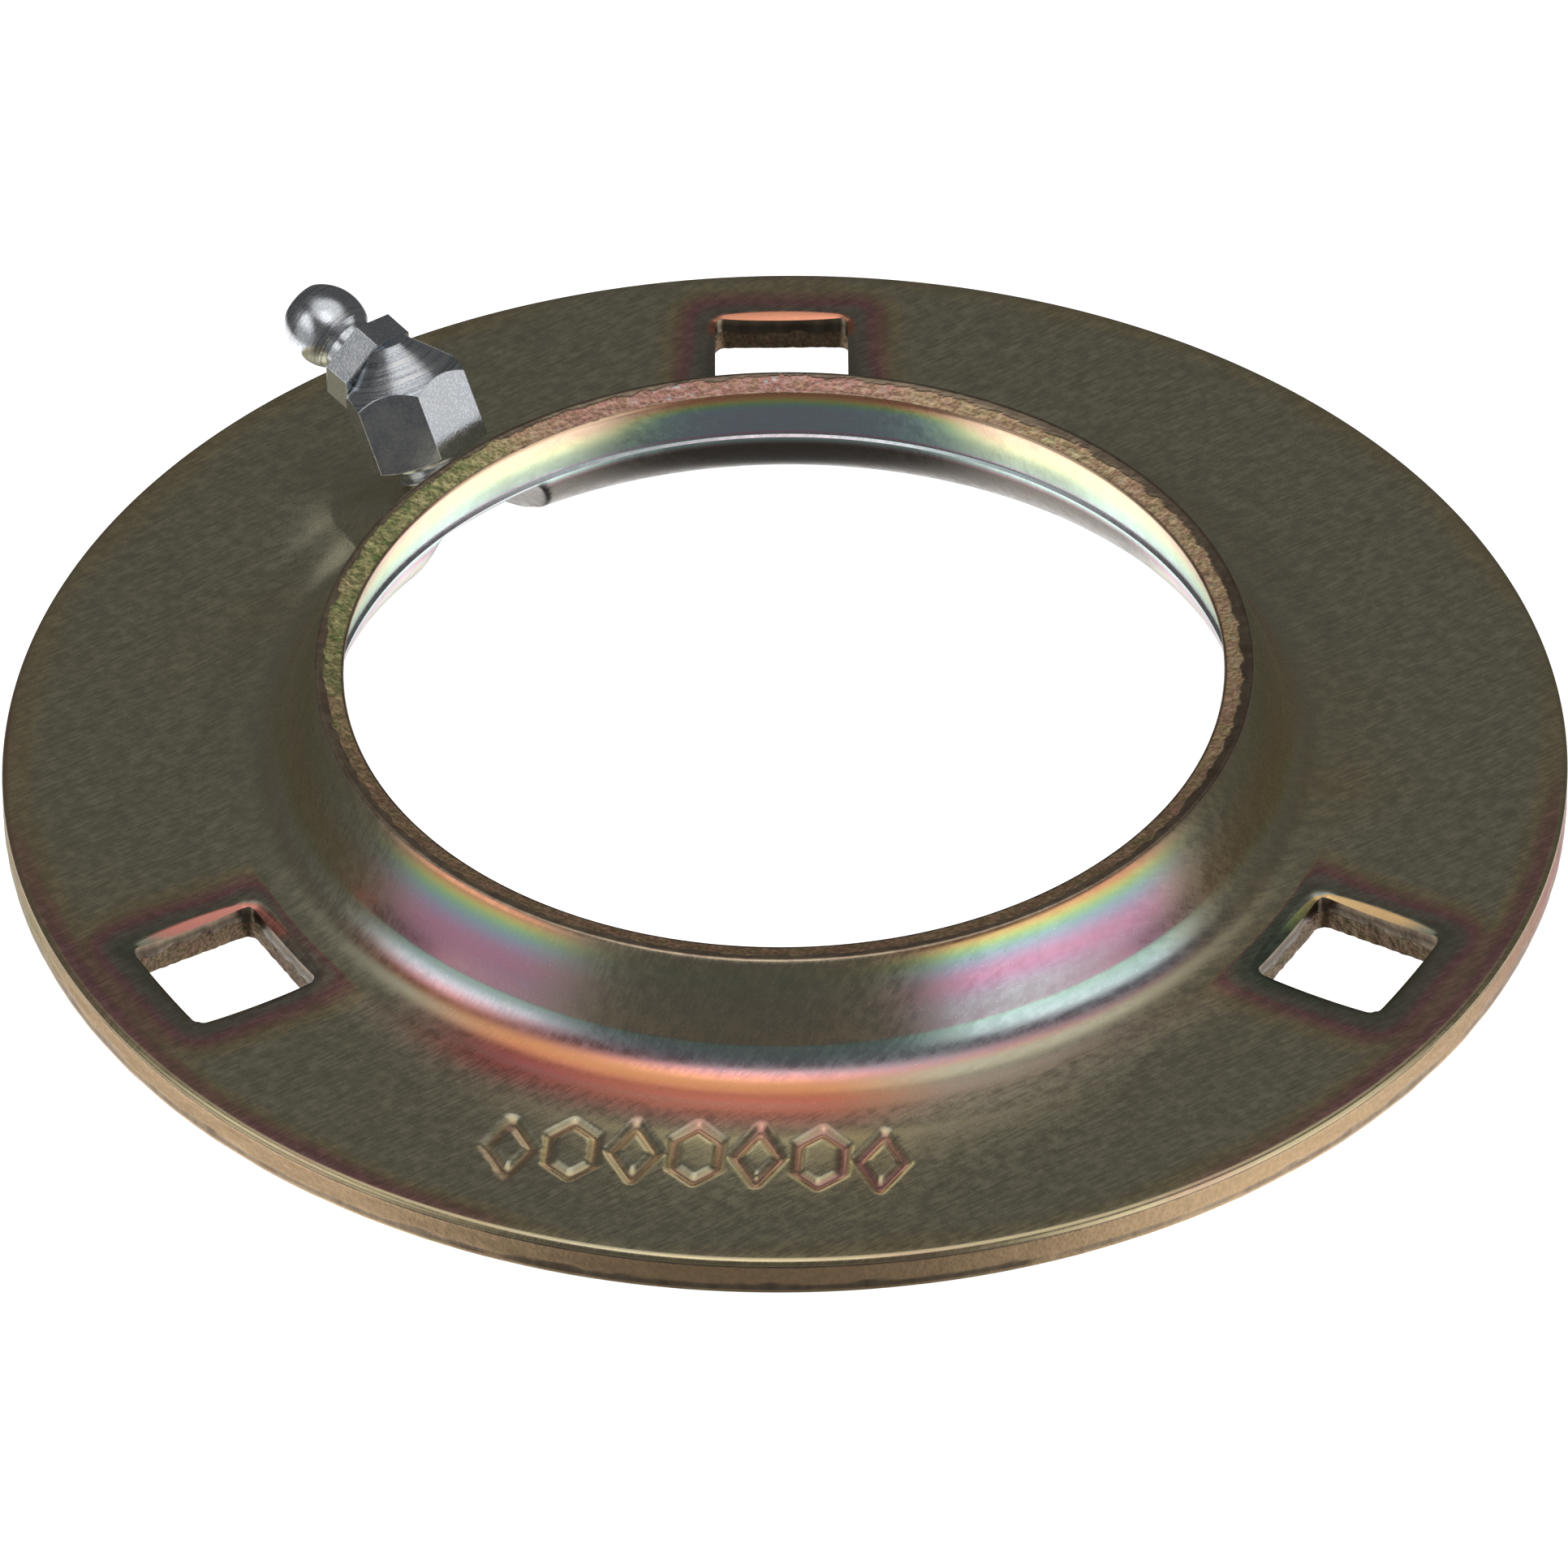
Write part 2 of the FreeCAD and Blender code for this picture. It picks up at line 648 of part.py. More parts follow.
def head_outline(body):
    """Half section of the coupling head: spigot, undercut, rounded bulb, flat tip."""
    sketch = new_sketch(body, "head_section", "XZ_Plane")
    stops = [
        (0.0, size("socket_start"), "0", "socket_start"),
        (size("socket_radius"), size("socket_start"), "socket_radius", "socket_start"),
        (size("socket_radius"), size("neck_start"), "socket_radius", "neck_start"),
        (size("undercut_radius"), size("neck_start"), "undercut_radius", "neck_start"),
        (size("undercut_radius"), size("undercut_end"), "undercut_radius", "undercut_end"),
        (size("bulb_start_radius"), size("bulb_start"), "bulb_start_radius", "bulb_start"),
        (size("tip_radius"), size("tip_at"), "tip_radius", "tip_at"),
        (0.0, size("tip_at"), "0", "tip_at"),
    ]
    count = len(stops)
    bulb = 5
    for k in range(count):
        a = stops[k]
        b = stops[(k + 1) % count]
        if k == bulb:
            radius = size("bulb_arc_radius")
            middle_x = (a[0] + b[0]) / 2
            middle_y = (a[1] + b[1]) / 2
            chord = math.hypot(b[0] - a[0], b[1] - a[1])
            back = math.sqrt(radius ** 2 - chord ** 2 / 4)
            centre = point(middle_x - back * (b[1] - a[1]) / chord, middle_y + back * (b[0] - a[0]) / chord)
            start = math.atan2(a[1] - centre.y, a[0] - centre.x)
            stop = math.atan2(b[1] - centre.y, b[0] - centre.x)
            circle = Part.Circle(centre, FreeCAD.Vector(0, 0, 1), radius)
            sketch.addGeometry(Part.ArcOfCircle(circle, start, stop), False)
        else:
            sketch.addGeometry(Part.LineSegment(point(a[0], a[1]), point(b[0], b[1])), False)
    for k in range(count):
        sketch.addConstraint(Sketcher.Constraint("Coincident", k, 2, (k + 1) % count, 1))
    for k, (x, y, x_formula, y_formula) in enumerate(stops):
        fix_distance(sketch, "DistanceX", k, 1, x, x_formula)
        fix_distance(sketch, "DistanceY", k, 1, y, y_formula)
    fix_radius(sketch, bulb, "bulb_arc_radius")
    doc.recompute()
    return sketch


def build_head():
    """Nipple head: small hexagon, grooved ball-shaped end, chamber for the check valve."""
    body = new_body("nipple_head")
    hexagonal_pad(body, "neck_hexagon", "neck_flats", "neck_turn", "neck_start", "neck_end - neck_start")
    revolve(body, "PartDesign::Revolution", "head_turned", head_outline(body))
    doc.recompute()
    seat = size("tip_at") - size("tip_hole_depth")
    seat_formula = "tip_at - tip_hole_depth"
    taper = seat - size("chamber_taper")
    taper_formula = seat_formula + " - chamber_taper"
    below = size("socket_start") - size("cut_clear")
    beyond = size("tip_at") + size("cut_clear")
    cut_profile(body, "PartDesign::Groove", "chamber", [
        corner_at(0.0, "0", below, "socket_start - cut_clear"),
        corner_at(size("passage_radius"), "passage_radius", below, "socket_start - cut_clear"),
        corner_at(size("passage_radius"), "passage_radius", size("chamber_start"), "chamber_start"),
        corner_at(size("chamber_radius"), "chamber_radius", size("chamber_start"), "chamber_start"),
        corner_at(size("chamber_radius"), "chamber_radius", taper, taper_formula),
        corner_at(size("tip_hole_radius"), "tip_hole_radius", seat, seat_formula),
        corner_at(size("tip_hole_radius"), "tip_hole_radius", beyond, "tip_at + cut_clear"),
        corner_at(0.0, "0", beyond, "tip_at + cut_clear"),
    ])
    body.Placement = head_frame()
    return body


def ball_centre():
    """How far along the head's axis the ball rests against the rim of the tip hole."""
    rise = math.sqrt(size("ball_radius") ** 2 - size("tip_hole_radius") ** 2)
    return size("tip_at") - size("tip_hole_depth") - rise - size("ball_gap")


def build_ball():
    ball = doc.addObject("Part::Sphere", "check_ball")
    ball.Label = "check_ball"
    bind(ball, "Radius", "ball_radius")
    ball.Placement = head_frame(ball_centre())
    return ball


def build_spring():
    """Coil spring between the chamber's shoulder and the ball."""
    body = new_body("check_spring")
    wire = size("spring_wire_radius")
    reach = math.sqrt((size("ball_radius") + wire) ** 2 - size("spring_radius") ** 2)
    low = size("chamber_start") + wire + size("ball_gap")
    high = ball_centre() - reach - size("ball_gap")
    sketch = new_sketch(body, "wire_section", "XZ_Plane")
    circle = Part.Circle(point(size("spring_radius"), 0), FreeCAD.Vector(0, 0, 1), wire)
    sketch.addGeometry(circle, False)
    fix_distance(sketch, "DistanceX", 0, 3, size("spring_radius"), "spring_radius")
    fix_distance(sketch, "DistanceY", 0, 3, 0, "0")
    fix_radius(sketch, 0, "spring_wire_radius")
    doc.recompute()
    coil = body.newObject("PartDesign::AdditiveHelix", "coil")
    coil.Profile = sketch
    coil.ReferenceAxis = (sketch, ["V_Axis"])
    coil.Mode = "height-turns-angle"
    coil.Height = high - low
    bind(coil, "Turns", "spring_turns")
    doc.recompute()
    body.Placement = head_frame(low)
    return body


def main():
    pieces = [build_flange(), build_elbow(), build_head(), build_ball(), build_spring()]
    doc.recompute()
    for thing in doc.Objects:
        if "Invalid" in thing.State or "Error" in thing.State:
            raise RuntimeError("%s is not valid: %s" % (thing.Name, thing.State))
    for piece in pieces:
        shape = piece.Shape
        if shape.isNull() or not shape.isValid() or len(shape.Solids) != 1:
            raise RuntimeError("%s has no single valid solid" % piece.Label)
        box = shape.BoundBox
        print("%-14s volume %9.2f  z %.2f to %.2f" % (piece.Label, shape.Volume, box.ZMin, box.ZMax))
        shape.exportStep("parts/%s.step" % piece.Label)


main()
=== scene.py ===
"""Pressed flange bearing housing half with a grease fitting: its looks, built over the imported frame."""
import math

import bpy
import numpy as np
from mathutils import Matrix, Vector


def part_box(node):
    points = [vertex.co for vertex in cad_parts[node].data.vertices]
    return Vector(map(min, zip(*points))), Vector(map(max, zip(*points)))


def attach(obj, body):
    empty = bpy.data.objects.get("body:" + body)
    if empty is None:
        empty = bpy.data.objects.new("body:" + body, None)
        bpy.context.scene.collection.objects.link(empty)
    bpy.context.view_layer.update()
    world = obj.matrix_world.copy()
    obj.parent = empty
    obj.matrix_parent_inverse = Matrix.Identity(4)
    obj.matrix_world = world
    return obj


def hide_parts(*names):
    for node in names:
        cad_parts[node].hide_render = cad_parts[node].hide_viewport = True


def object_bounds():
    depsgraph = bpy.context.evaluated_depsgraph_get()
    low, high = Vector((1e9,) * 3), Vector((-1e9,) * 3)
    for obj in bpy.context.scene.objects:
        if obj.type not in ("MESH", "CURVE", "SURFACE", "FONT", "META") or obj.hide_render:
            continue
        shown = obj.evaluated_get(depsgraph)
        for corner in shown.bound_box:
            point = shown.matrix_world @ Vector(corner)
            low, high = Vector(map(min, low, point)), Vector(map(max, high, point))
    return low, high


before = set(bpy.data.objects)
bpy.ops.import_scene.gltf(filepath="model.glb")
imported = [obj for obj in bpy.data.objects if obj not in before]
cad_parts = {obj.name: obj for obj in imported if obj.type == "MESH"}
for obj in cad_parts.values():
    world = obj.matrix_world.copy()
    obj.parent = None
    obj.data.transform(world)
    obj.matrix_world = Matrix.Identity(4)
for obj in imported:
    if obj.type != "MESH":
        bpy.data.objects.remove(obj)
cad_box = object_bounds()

# ---- driving sizes, in millimetres
MM = 0.001
CLOSE = 0.001
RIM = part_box("flange_plate")[1].x / MM
THICKNESS = 3.2
EDGE_ROLL = 0.5
HEEL = 0.15
SEAT_RADIUS = 36.2
LIP_OUTER_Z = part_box("flange_plate")[1].z / MM
LIP_OUTER_R = 36.4
LIP_INNER_Z = 12.0
LIP_INNER_R = math.sqrt(SEAT_RADIUS ** 2 - LIP_INNER_Z ** 2)
LIP_EDGE = 0.12
BEND_RADIUS = 7.5
ROOT_RADIUS = BEND_RADIUS - THICKNESS
ROOT_BLEND = 0.6
ROOT_BLEND_REACH = (-0.5, 3.6)
BEND = (math.sqrt((SEAT_RADIUS + BEND_RADIUS) ** 2 - BEND_RADIUS ** 2), BEND_RADIUS)
WALL_RADIUS = 39.0
LEDGE_Z = 6.9
LEDGE = 0.26
LEDGE_TILT = 35.0
BOLT_CIRCLE = 50.0
SQUARE_HALF = 5.3
SQUARE_CORNER = 0.8
HOLE_AZIMUTHS = (90.0, 210.0, 330.0)
FAR_HOLE, LEFT_HOLE, RIGHT_HOLE = HOLE_AZIMUTHS

# ---- punched edges, in millimetres
ROLL_WIDTH = (0.1, 0.62)
ROLL_BULGE = 0.55
ROLL_DEPTH = 0.5
ROLL_EASE = 1.25
ROLL_LOOPS = 6
BURNISH_FOOT = 1.75
BURNISH_WANDER = 0.28
TORN_OPENING = 0.05
TORN_PARTS = (0.06, 0.25, 0.45, 0.65, 0.85, 1.0)
LIP_TORN_SHARE = 0.62
LIP_TORN_WIDER = 0.16
LIP_TORN_WANDER = 0.09
LIP_TORN_EDGE = 0.06
LIP_TORN_START = (0.05, 0.16)
LIP_GRAIN = 0.055
LIP_SINK = 0.05
RIM_WAVE = 0.03

# ---- pad and grease pocket under the fitting
FITTING_AZIMUTH = 131.0
FITTING_TILT = 30.0
PAD_FOOT = 47.3
PAD_START = 37.4
PAD_HALF_WIDTH = 6.4
PAD_EDGE = 0.5
PAD_BLEND = 0.28
PAD_SINK = 0.03
PAD_REACH = 1.0
POCKET_START = 30.0
POCKET_HALF_WIDTH = 5.2
POCKET_EDGE = 0.4
EDGE_LIFT = 0.02
FLANK = math.tan(math.radians(60.0))
RAMP = math.tan(math.radians(FITTING_TILT))

# ---- stamped marks
MARK_CENTRE = (-7.0, -48.2)
MARK_TURN = -4.2
MARK_PITCH = 4.75
MARK_HALF_WIDTH = 1.75
MARK_HALF_HEIGHT = 3.2
MARK_STROKE = 0.56
MARK_DEPTH = 0.32
MARK_SIDES = (4, 6, 4, 6, 4, 6, 4)

# ---- mesh density, degrees and millimetres
STEP = 0.5
PLATE_STEP = 0.65
PATCH_HALF = 9.0
PATCH_OUTER = 57.3
PATCH_LAYERS = 6
PATCH_CROWDING = 1.2
MARKS_SECTOR = (245.0, 285.0)
MARKS_RADII = (43.6, 54.4)
MARKS_STEP = 0.26
SECTION_COUNTS = {"rim": 9, "roll": 5, "root": 18, "wall": 14, "lip": 12, "seat": 12, "ledge": 3, "bell": 14}
SHARP_ANGLE = 50.0

# ---- mesh noise: cells per millimetre, and seed
BURNISH_NOISE = (0.9, 0.9, 0.0)
TEAR_NOISE = (2.4, 2.4, 4.0)
TEAR_SEED = 9
HOLE_SEED = 11
LIP_BORDER_NOISE = ((1.1, 1.1, 0.0), 31)
LIP_GRAIN_NOISE = ((2.6, 2.6, 0.0), 5)
RIM_WAVE_NOISE = ((0.5, 0.5, 1.6), 7)
RIM_STRIP_NOISE = ((0.35, 0.35, 0.0), 57)
FILM_NOISE = ((0.06, 0.06, 0.12), 41)

# ---- where the film shows
# Each spot is a centre azimuth, how far from it the spot is full, and how far off it is gone, in degrees.
# The next two spots show the film's colours on the wall where the side lights' highlights fall: real film,
# painted sheen.
LEFT_FILM_SHEEN = (230.0, 5.0, 21.0)
RIGHT_FILM_SHEEN = (303.0, 11.0, 25.0)
BACK_RAINBOW = (60.0, 20.0, 60.0)
# The next two spots show the film on the root, and its coral on the plate beside it, where the overhead
# light's highlight falls: real film, painted highlight colour.
ROOT_FILM_SHEEN = (262.0, 22.0, 45.0)
WARM_ROOT_SHEEN = (256.0, 16.0, 34.0)
FAR_SEAT = (88.0, 13.0, 27.0)
# The next two spots place the painted shade: darker and browner in the bend and low on the seat, most at the
# far side.
SHADED_BELL = (88.0, 46.0, 60.0)
SHADED_SEAT = (90.0, 38.0, 48.0)
HALO_LEFT = (222.0, 16.0, 40.0)
HALO_RIGHT = (332.0, 14.0, 38.0)
PINK_LIP = (100.0, 14.0, 34.0)
GREEN_LIP = (158.0, 18.0, 42.0)
PALE_RIM = (0.0, 4.0, 34.0)
GREEN_RIM = (190.0, 6.0, 20.0)
# The next two spots place the painted highlight on the lip.
LIT_TEAR = (85.0, 85.0, 125.0)
LIT_BURNISH = (235.0, 70.0, 110.0)
WIDE_TEAR = (125.0, 35.0, 70.0)
HOLE_SECTOR = (20.0, 21.0)
ROOT_TURN = (268.0, 292.0)

# The film's order, 0 to 1 through COLLAR_FILM, from one end of each stretch to the other.
PLATE_ORDER = 0.1
ROOT_ORDER = (0.06, 0.45)
ROOT_ORDER_TURN = 0.05
WALL_ORDER = (0.53, 1.0)
SEAT_ORDER = (0.78, 0.95)
FAR_SEAT_ORDER = (0.73, 1.0)
BELL_ORDER = (0.31, 0.71)
ORDER_DRIFT = 0.04
ORDER_DRIFT_FROM = (0.02, 0.3)

# How much of the film shows, how far a painted reflection whitens the seat and how far a painted shade
# darkens the bend, 0 to 1.
RAINBOW_FLOOR = 0.1
PLATE_RAINBOW = 0.1
# Painted glow: how much coral film shows on the plate below the root's highlight.
PLATE_WARM_SHEEN = 0.9
BACK_RAINBOW_SHARE = 0.45
# How much film colour the painted highlight on each hole's far rolled edge takes.
DIE_SHEEN = 0.85
# A painted reflection: how far the seat is whitened away from its far centre.
SEAT_REFLECTION = 0.28
# Painted shade low on the seat, either side of its far centre.
SEAT_SHADE = 0.5

# Heights between which each of them changes, in millimetres, and angles round the root, in degrees.
WALL_CLIMB = (7.2, 12.2)
SEAT_CLIMB = (7.0, 11.6)
FAR_SEAT_CLIMB = (9.9, 11.9)
BELL_CLIMB = (6.7, 5.6)
BELL_SHOWS = (4.6, 6.4)
# The next three set where the painted shade in the bend and low on the seat fades out.
BELL_SHADE = (6.2, 6.7)
BACK_SHADE = (3.0, 6.0)
SEAT_SHADE_TOP = (8.2, 10.0)
LOW_ROOT = (50.0, 62.0)
# How far from the root the painted glow reaches onto the plate.
GLOW_REACH = (0.4, 4.6)

# Maroon halos round the holes and inside the rim.
HOLE_HALO = 0.86
HOLE_HALO_REACH = (0.4, 6.0)
RIM_HALO = 0.62
RIM_HALO_REACH = (0.6, 3.6)
RIM_HALO_FLOOR = 0.35
ROLL_HALO = 0.3
ROLL_HALO_REACH = 0.75 * EDGE_ROLL

# Sheared faces: place in CUT_FILM, the painted highlight on the lip and painted shade in the holes, and the
# rim's torn strips.
CUT_HUE = 0.5
LIP_PINKER = 0.24
LIP_GREENER = 0.3
RIM_HUE = 0.47
RIM_PALER = 0.42
RIM_GREENER = 0.12
# Painted highlight on the lip, then painted shade inside the holes.
TEAR_HIGHLIGHT = 0.55
TEAR_HIGHLIGHT_FLOOR = 0.3
BURNISH_HIGHLIGHT = 0.75
HOLE_SHADE = 0.38
RIM_GRAIN = 0.3
STRIP_WANDER = 0.22
STRIP_FLOOR = 0.3
STRIP_TOP = (0.75, 1.1)
STRIP_FOOT = (0.25, 0.5)

# Rolled edges of the holes: place in COLLAR_FILM, the colour of the painted highlight on each hole's far
# edge.
FAR_DIE_HUE = 0.15
LEFT_DIE_HUE = 0.095
RIGHT_DIE_HUE = 0.9
RIGHT_DIE_DIP = 0.07
RIGHT_DIE_RISE = 0.06
RIGHT_DIE_HALF_SPAN = 6.0
FAR_SIDE = (2.6, 4.2)


# ======== easing and noise
def smooth(x, low, high):
    """0 below low, 1 above high, eased between."""
    t = np.clip((x - low) / (high - low), 0.0, 1.0)
    return t * t * (3.0 - 2.0 * t)


def smooth_max(a, b, blend):
    """The larger of a and b, the corner between them rounded over blend."""
    return 0.5 * (a + b + np.sqrt((a - b) ** 2 + blend ** 2))


def between(ends, share):
    return ends[0] + (ends[1] - ends[0]) * share


def lattice(cell, seed):
    """A repeatable value from 0 to 1 for every whole-numbered cell, by integer hashing."""
    n = cell[:, 0] * 374761393 + cell[:, 1] * 668265263 + cell[:, 2] * 1442695041 + seed * 974711
    n = (n ^ (n >> 13)) * 1274126177
    n = (n ^ (n >> 16)) & 0xFFFF
    return n / 65535.0


def value_noise(points, scale, seed):
    """Smooth noise from -1 to 1 at each row of points."""
    places = points * np.array(scale)
    base = np.floor(places).astype(np.int64)
    part = places - base
    part = part * part * (3.0 - 2.0 * part)
    total = np.zeros(len(points))
    for corner in range(8):
        bits = np.array([corner & 1, (corner >> 1) & 1, (corner >> 2) & 1])
        total += np.prod(np.where(bits, part, 1.0 - part), axis=1) * lattice(base + bits, seed)
    return 2.0 * total - 1.0


def layered_noise(points, scale, seed, octaves=3):
    """Value noise with finer and weaker layers added."""
    scale = np.array(scale)
    return sum(value_noise(points, scale * 2.0 ** k, seed + k) / 2.0 ** k for k in range(octaves))


# ======== half section
def line(a, b, count):
    """Points from a towards b, the last left out."""
    t = np.linspace(0.0, 1.0, count, endpoint=False)[:, None]
    return np.array(a) * (1.0 - t) + np.array(b) * t


def on_arc(centre, radius, degrees):
    angle = np.radians(degrees)
    return np.array(centre) + radius * np.stack([np.cos(angle), np.sin(angle)], axis=-1)


def arc(centre, radius, start, stop, count):
    """Points round an arc from start to stop degrees, the last left out."""
    return on_arc(centre, radius, np.linspace(start, stop, count, endpoint=False))


def bearing(a, b):
    """The direction from a to b, in degrees."""
    return math.degrees(math.atan2(b[1] - a[1], b[0] - a[0])) % 360.0


def wall_centre():
    """Centre of the outer wall's arc, which ends at the lip and is tangent to the root fillet."""
    lip = np.array([LIP_OUTER_R, LIP_OUTER_Z])
    gap = np.array(BEND) - lip
    length = np.hypot(*gap)
    reach = WALL_RADIUS + ROOT_RADIUS
    along = (WALL_RADIUS ** 2 - reach ** 2 + length ** 2) / (2.0 * length)
    across = math.sqrt(WALL_RADIUS ** 2 - along ** 2)
    ahead = gap / length
    return lip + along * ahead + across * np.array([ahead[1], -ahead[0]])


def plate_radii():
    """Radii across the flat of the plate, from the rim's roll to the root, closest under the marks."""
    inner, outer = MARKS_RADII
    runs = ((RIM - EDGE_ROLL, PATCH_OUTER, PLATE_STEP), (PATCH_OUTER, outer, PLATE_STEP),
            (outer, inner, MARKS_STEP), (inner, BEND[0], PLATE_STEP))
    radii = []
    for start, stop, step in runs:
        radii.extend(np.linspace(start, stop, max(1, round((start - stop) / step)), endpoint=False))
    return np.array(radii)


def lip_run(wall_end, outer, inner):
    """Across the sheared lip, from the end of the wall to just short of the seat."""
    across = (inner - outer) / np.hypot(*(inner - outer))
    face = line(outer + LIP_EDGE * across, inner - LIP_EDGE * across, SECTION_COUNTS["lip"])
    return np.vstack([wall_end, face]), inner - LIP_EDGE * across


def bell_run(ledge_top, ledge_end):
    """Over the small step under the seat, then round the inside of the bend to the back face."""
    reach = math.hypot(*(ledge_end - np.array(BEND)))
    fade = np.linspace(1.0, 0.0, SECTION_COUNTS["bell"], endpoint=False)[:, None] ** 2
    direction = arc((0.0, 0.0), 1.0, bearing(BEND, ledge_end), 270.0, SECTION_COUNTS["bell"])
    bend = np.array(BEND) + direction * (BEND_RADIUS + (reach - BEND_RADIUS) * fade)
    return np.vstack([line(ledge_top, ledge_end, SECTION_COUNTS["ledge"]), bend])


def half_section():
    """The flange's closed outline: named runs of (radius, height) points, rim to lip to back face."""
    radii = plate_radii()
    wall = wall_centre()
    outer = np.array([LIP_OUTER_R, LIP_OUTER_Z])
    inner = np.array([LIP_INNER_R, LIP_INNER_Z])
    root_top = bearing(BEND, wall)
    wall_high = bearing(wall, outer) - math.degrees(LIP_EDGE / WALL_RADIUS)
    seat_high = bearing((0, 0), inner) - math.degrees(LIP_EDGE / SEAT_RADIUS)
    lip, lip_end = lip_run(on_arc(wall, WALL_RADIUS, [wall_high]), outer, inner)
    ledge_at = math.degrees(math.asin(LEDGE_Z / SEAT_RADIUS))
    ledge_top = on_arc((0, 0), SEAT_RADIUS, ledge_at)
    ledge_end = on_arc(ledge_top, -LEDGE, LEDGE_TILT)
    return {
        "rim": line((RIM, HEEL), (RIM, THICKNESS - EDGE_ROLL), SECTION_COUNTS["rim"]),
        "roll": arc((RIM - EDGE_ROLL, THICKNESS - EDGE_ROLL), EDGE_ROLL, 0.0, 90.0, SECTION_COUNTS["roll"]),
        "top": np.stack([radii, np.full(len(radii), THICKNESS)], axis=-1),
        "root": arc(BEND, ROOT_RADIUS, 270.0, root_top, SECTION_COUNTS["root"]),
        "wall": arc(wall, WALL_RADIUS, root_top - 180.0, wall_high, SECTION_COUNTS["wall"]),
        "lip": lip,
        "seat": np.vstack([[lip_end], arc((0, 0), SEAT_RADIUS, seat_high, ledge_at, SECTION_COUNTS["seat"])]),
        "bell": bell_run(ledge_top, ledge_end),
        "back": np.stack([np.append(BEND[0], radii[::-1]), np.zeros(len(radii) + 1)], axis=-1),
        "heel": np.array([[RIM - HEEL, 0.0]]),
    }


# ======== square holes
def square_edge(side, t, offset):
    """A point t of the way along one side of a rounded square, moved out by offset: (radial, tangential)."""
    facing = 180.0 - 90.0 * side
    quarter = math.pi / 4.0 * SQUARE_CORNER
    straight = 2.0 * (SQUARE_HALF - SQUARE_CORNER)
    at = t * (2.0 * quarter + straight)
    turn = 0.0
    if at < quarter:
        turn = 45.0 - math.degrees(at / SQUARE_CORNER)
    elif at > quarter + straight:
        turn = -math.degrees((at - quarter - straight) / SQUARE_CORNER)
    along = min(max(at - quarter, 0.0), straight) - straight / 2.0
    centre = on_arc((0.0, 0.0), along, facing - 90.0) + on_arc((0.0, 0.0), straight / 2.0, facing)
    return on_arc(centre, SQUARE_CORNER + offset, facing + turn)


def hole_edge(azimuth, counts, offsets):
    """The hole's outline in the plate's plane, one point per patch edge step, moved out by offsets."""
    out = []
    for side, count in enumerate(counts):
        for k in range(count):
            out.append(square_edge(side, k / count, offsets[len(out)]))
    out = np.array(out) + np.array([BOLT_CIRCLE, 0.0])
    turn = math.radians(azimuth)
    return out @ np.array([[math.cos(turn), math.sin(turn)], [-math.sin(turn), math.cos(turn)]])


def hole_loops(azimuth, counts, seed):
    """Loops down a punched hole: rolled edge, burnished band, torn band, back edge; each (xyz, torn)."""
    share = np.concatenate([np.arange(count) / count for count in counts])
    roll = between((ROLL_WIDTH[0], sum(ROLL_WIDTH)), np.sin(np.pi * share) ** ROLL_BULGE)
    loops = []
    for down in np.linspace(0.0, 1.0, ROLL_LOOPS):
        z = THICKNESS - ROLL_DEPTH * roll * down ** ROLL_EASE
        loops.append((hole_edge(azimuth, counts, roll * (1.0 - down)), z, 0.0))
    around = hole_edge(azimuth, counts, np.zeros(len(share)))
    place = np.column_stack([around, np.zeros(len(share))])
    border = BURNISH_FOOT + BURNISH_WANDER * layered_noise(place, BURNISH_NOISE, seed)
    top = THICKNESS - ROLL_DEPTH * roll
    for part in (0.5, 1.0):
        loops.append((around, top + (border - top) * part, 0.0))
    for part in TORN_PARTS:
        place[:, 2] = part
        torn = TORN_OPENING * (1.0 + layered_noise(place, TEAR_NOISE, seed + TEAR_SEED) + part)
        loops.append((hole_edge(azimuth, counts, torn), border * (1.0 - part), 1.0))
    return [(np.column_stack([xy, np.broadcast_to(z, len(xy))]), torn) for xy, z, torn in loops]


# ======== flange mesh
SECTION_RUNS = ("rim", "roll", "top", "root", "wall", "lip", "seat", "bell", "back", "heel")
RUNS = SECTION_RUNS + ("die", "hole")
COATED, CUT = 0, 1


def in_runs(run, *names):
    return np.isin(run, [RUNS.index(name) for name in names])


class Shell:
    """Points, faces and what each point belongs to, gathered before the mesh is made."""

    def __init__(self):
        self.points, self.runs, self.cuts, self.faces, self.looks = [], [], [], [], []
        self.count = 0

    def add(self, points, name, torn=0.0):
        first = self.count
        self.points.append(np.asarray(points, float))
        self.runs.append(np.full(len(points), RUNS.index(name)))
        self.cuts.append(np.full(len(points), torn))
        self.count += len(points)
        return np.arange(first, self.count)

    def quads(self, quads, look):
        self.faces.append(quads)
        self.looks.append(np.broadcast_to(look, len(quads)))

    def band(self, low, high, look):
        """Faces between two closed loops of the same length."""
        self.quads(np.column_stack([low, np.roll(low, -1), np.roll(high, -1), high]), look)


def azimuths():
    """Grid lines round the axis, twice as close under the stamped marks."""
    coarse = np.arange(0.0, 360.0, STEP)
    extra = np.arange(MARKS_SECTOR[0] + STEP / 2.0, MARKS_SECTOR[1], STEP)
    return np.sort(np.concatenate([coarse, extra]))


def lathe(shell, angles):
    """The half section turned about the axis: a grid of point numbers, and each row's run and radius."""
    section = half_section()
    turn = np.radians(angles)
    grid, kinds, radii = [], [], []
    for name in SECTION_RUNS:
        for r, z in section[name]:
            loop = np.column_stack([r * np.cos(turn), r * np.sin(turn), np.full(len(turn), z)])
            grid.append(shell.add(loop, name))
            kinds.append(name)
            radii.append(r)
    return np.array(grid), np.array(kinds), np.array(radii)


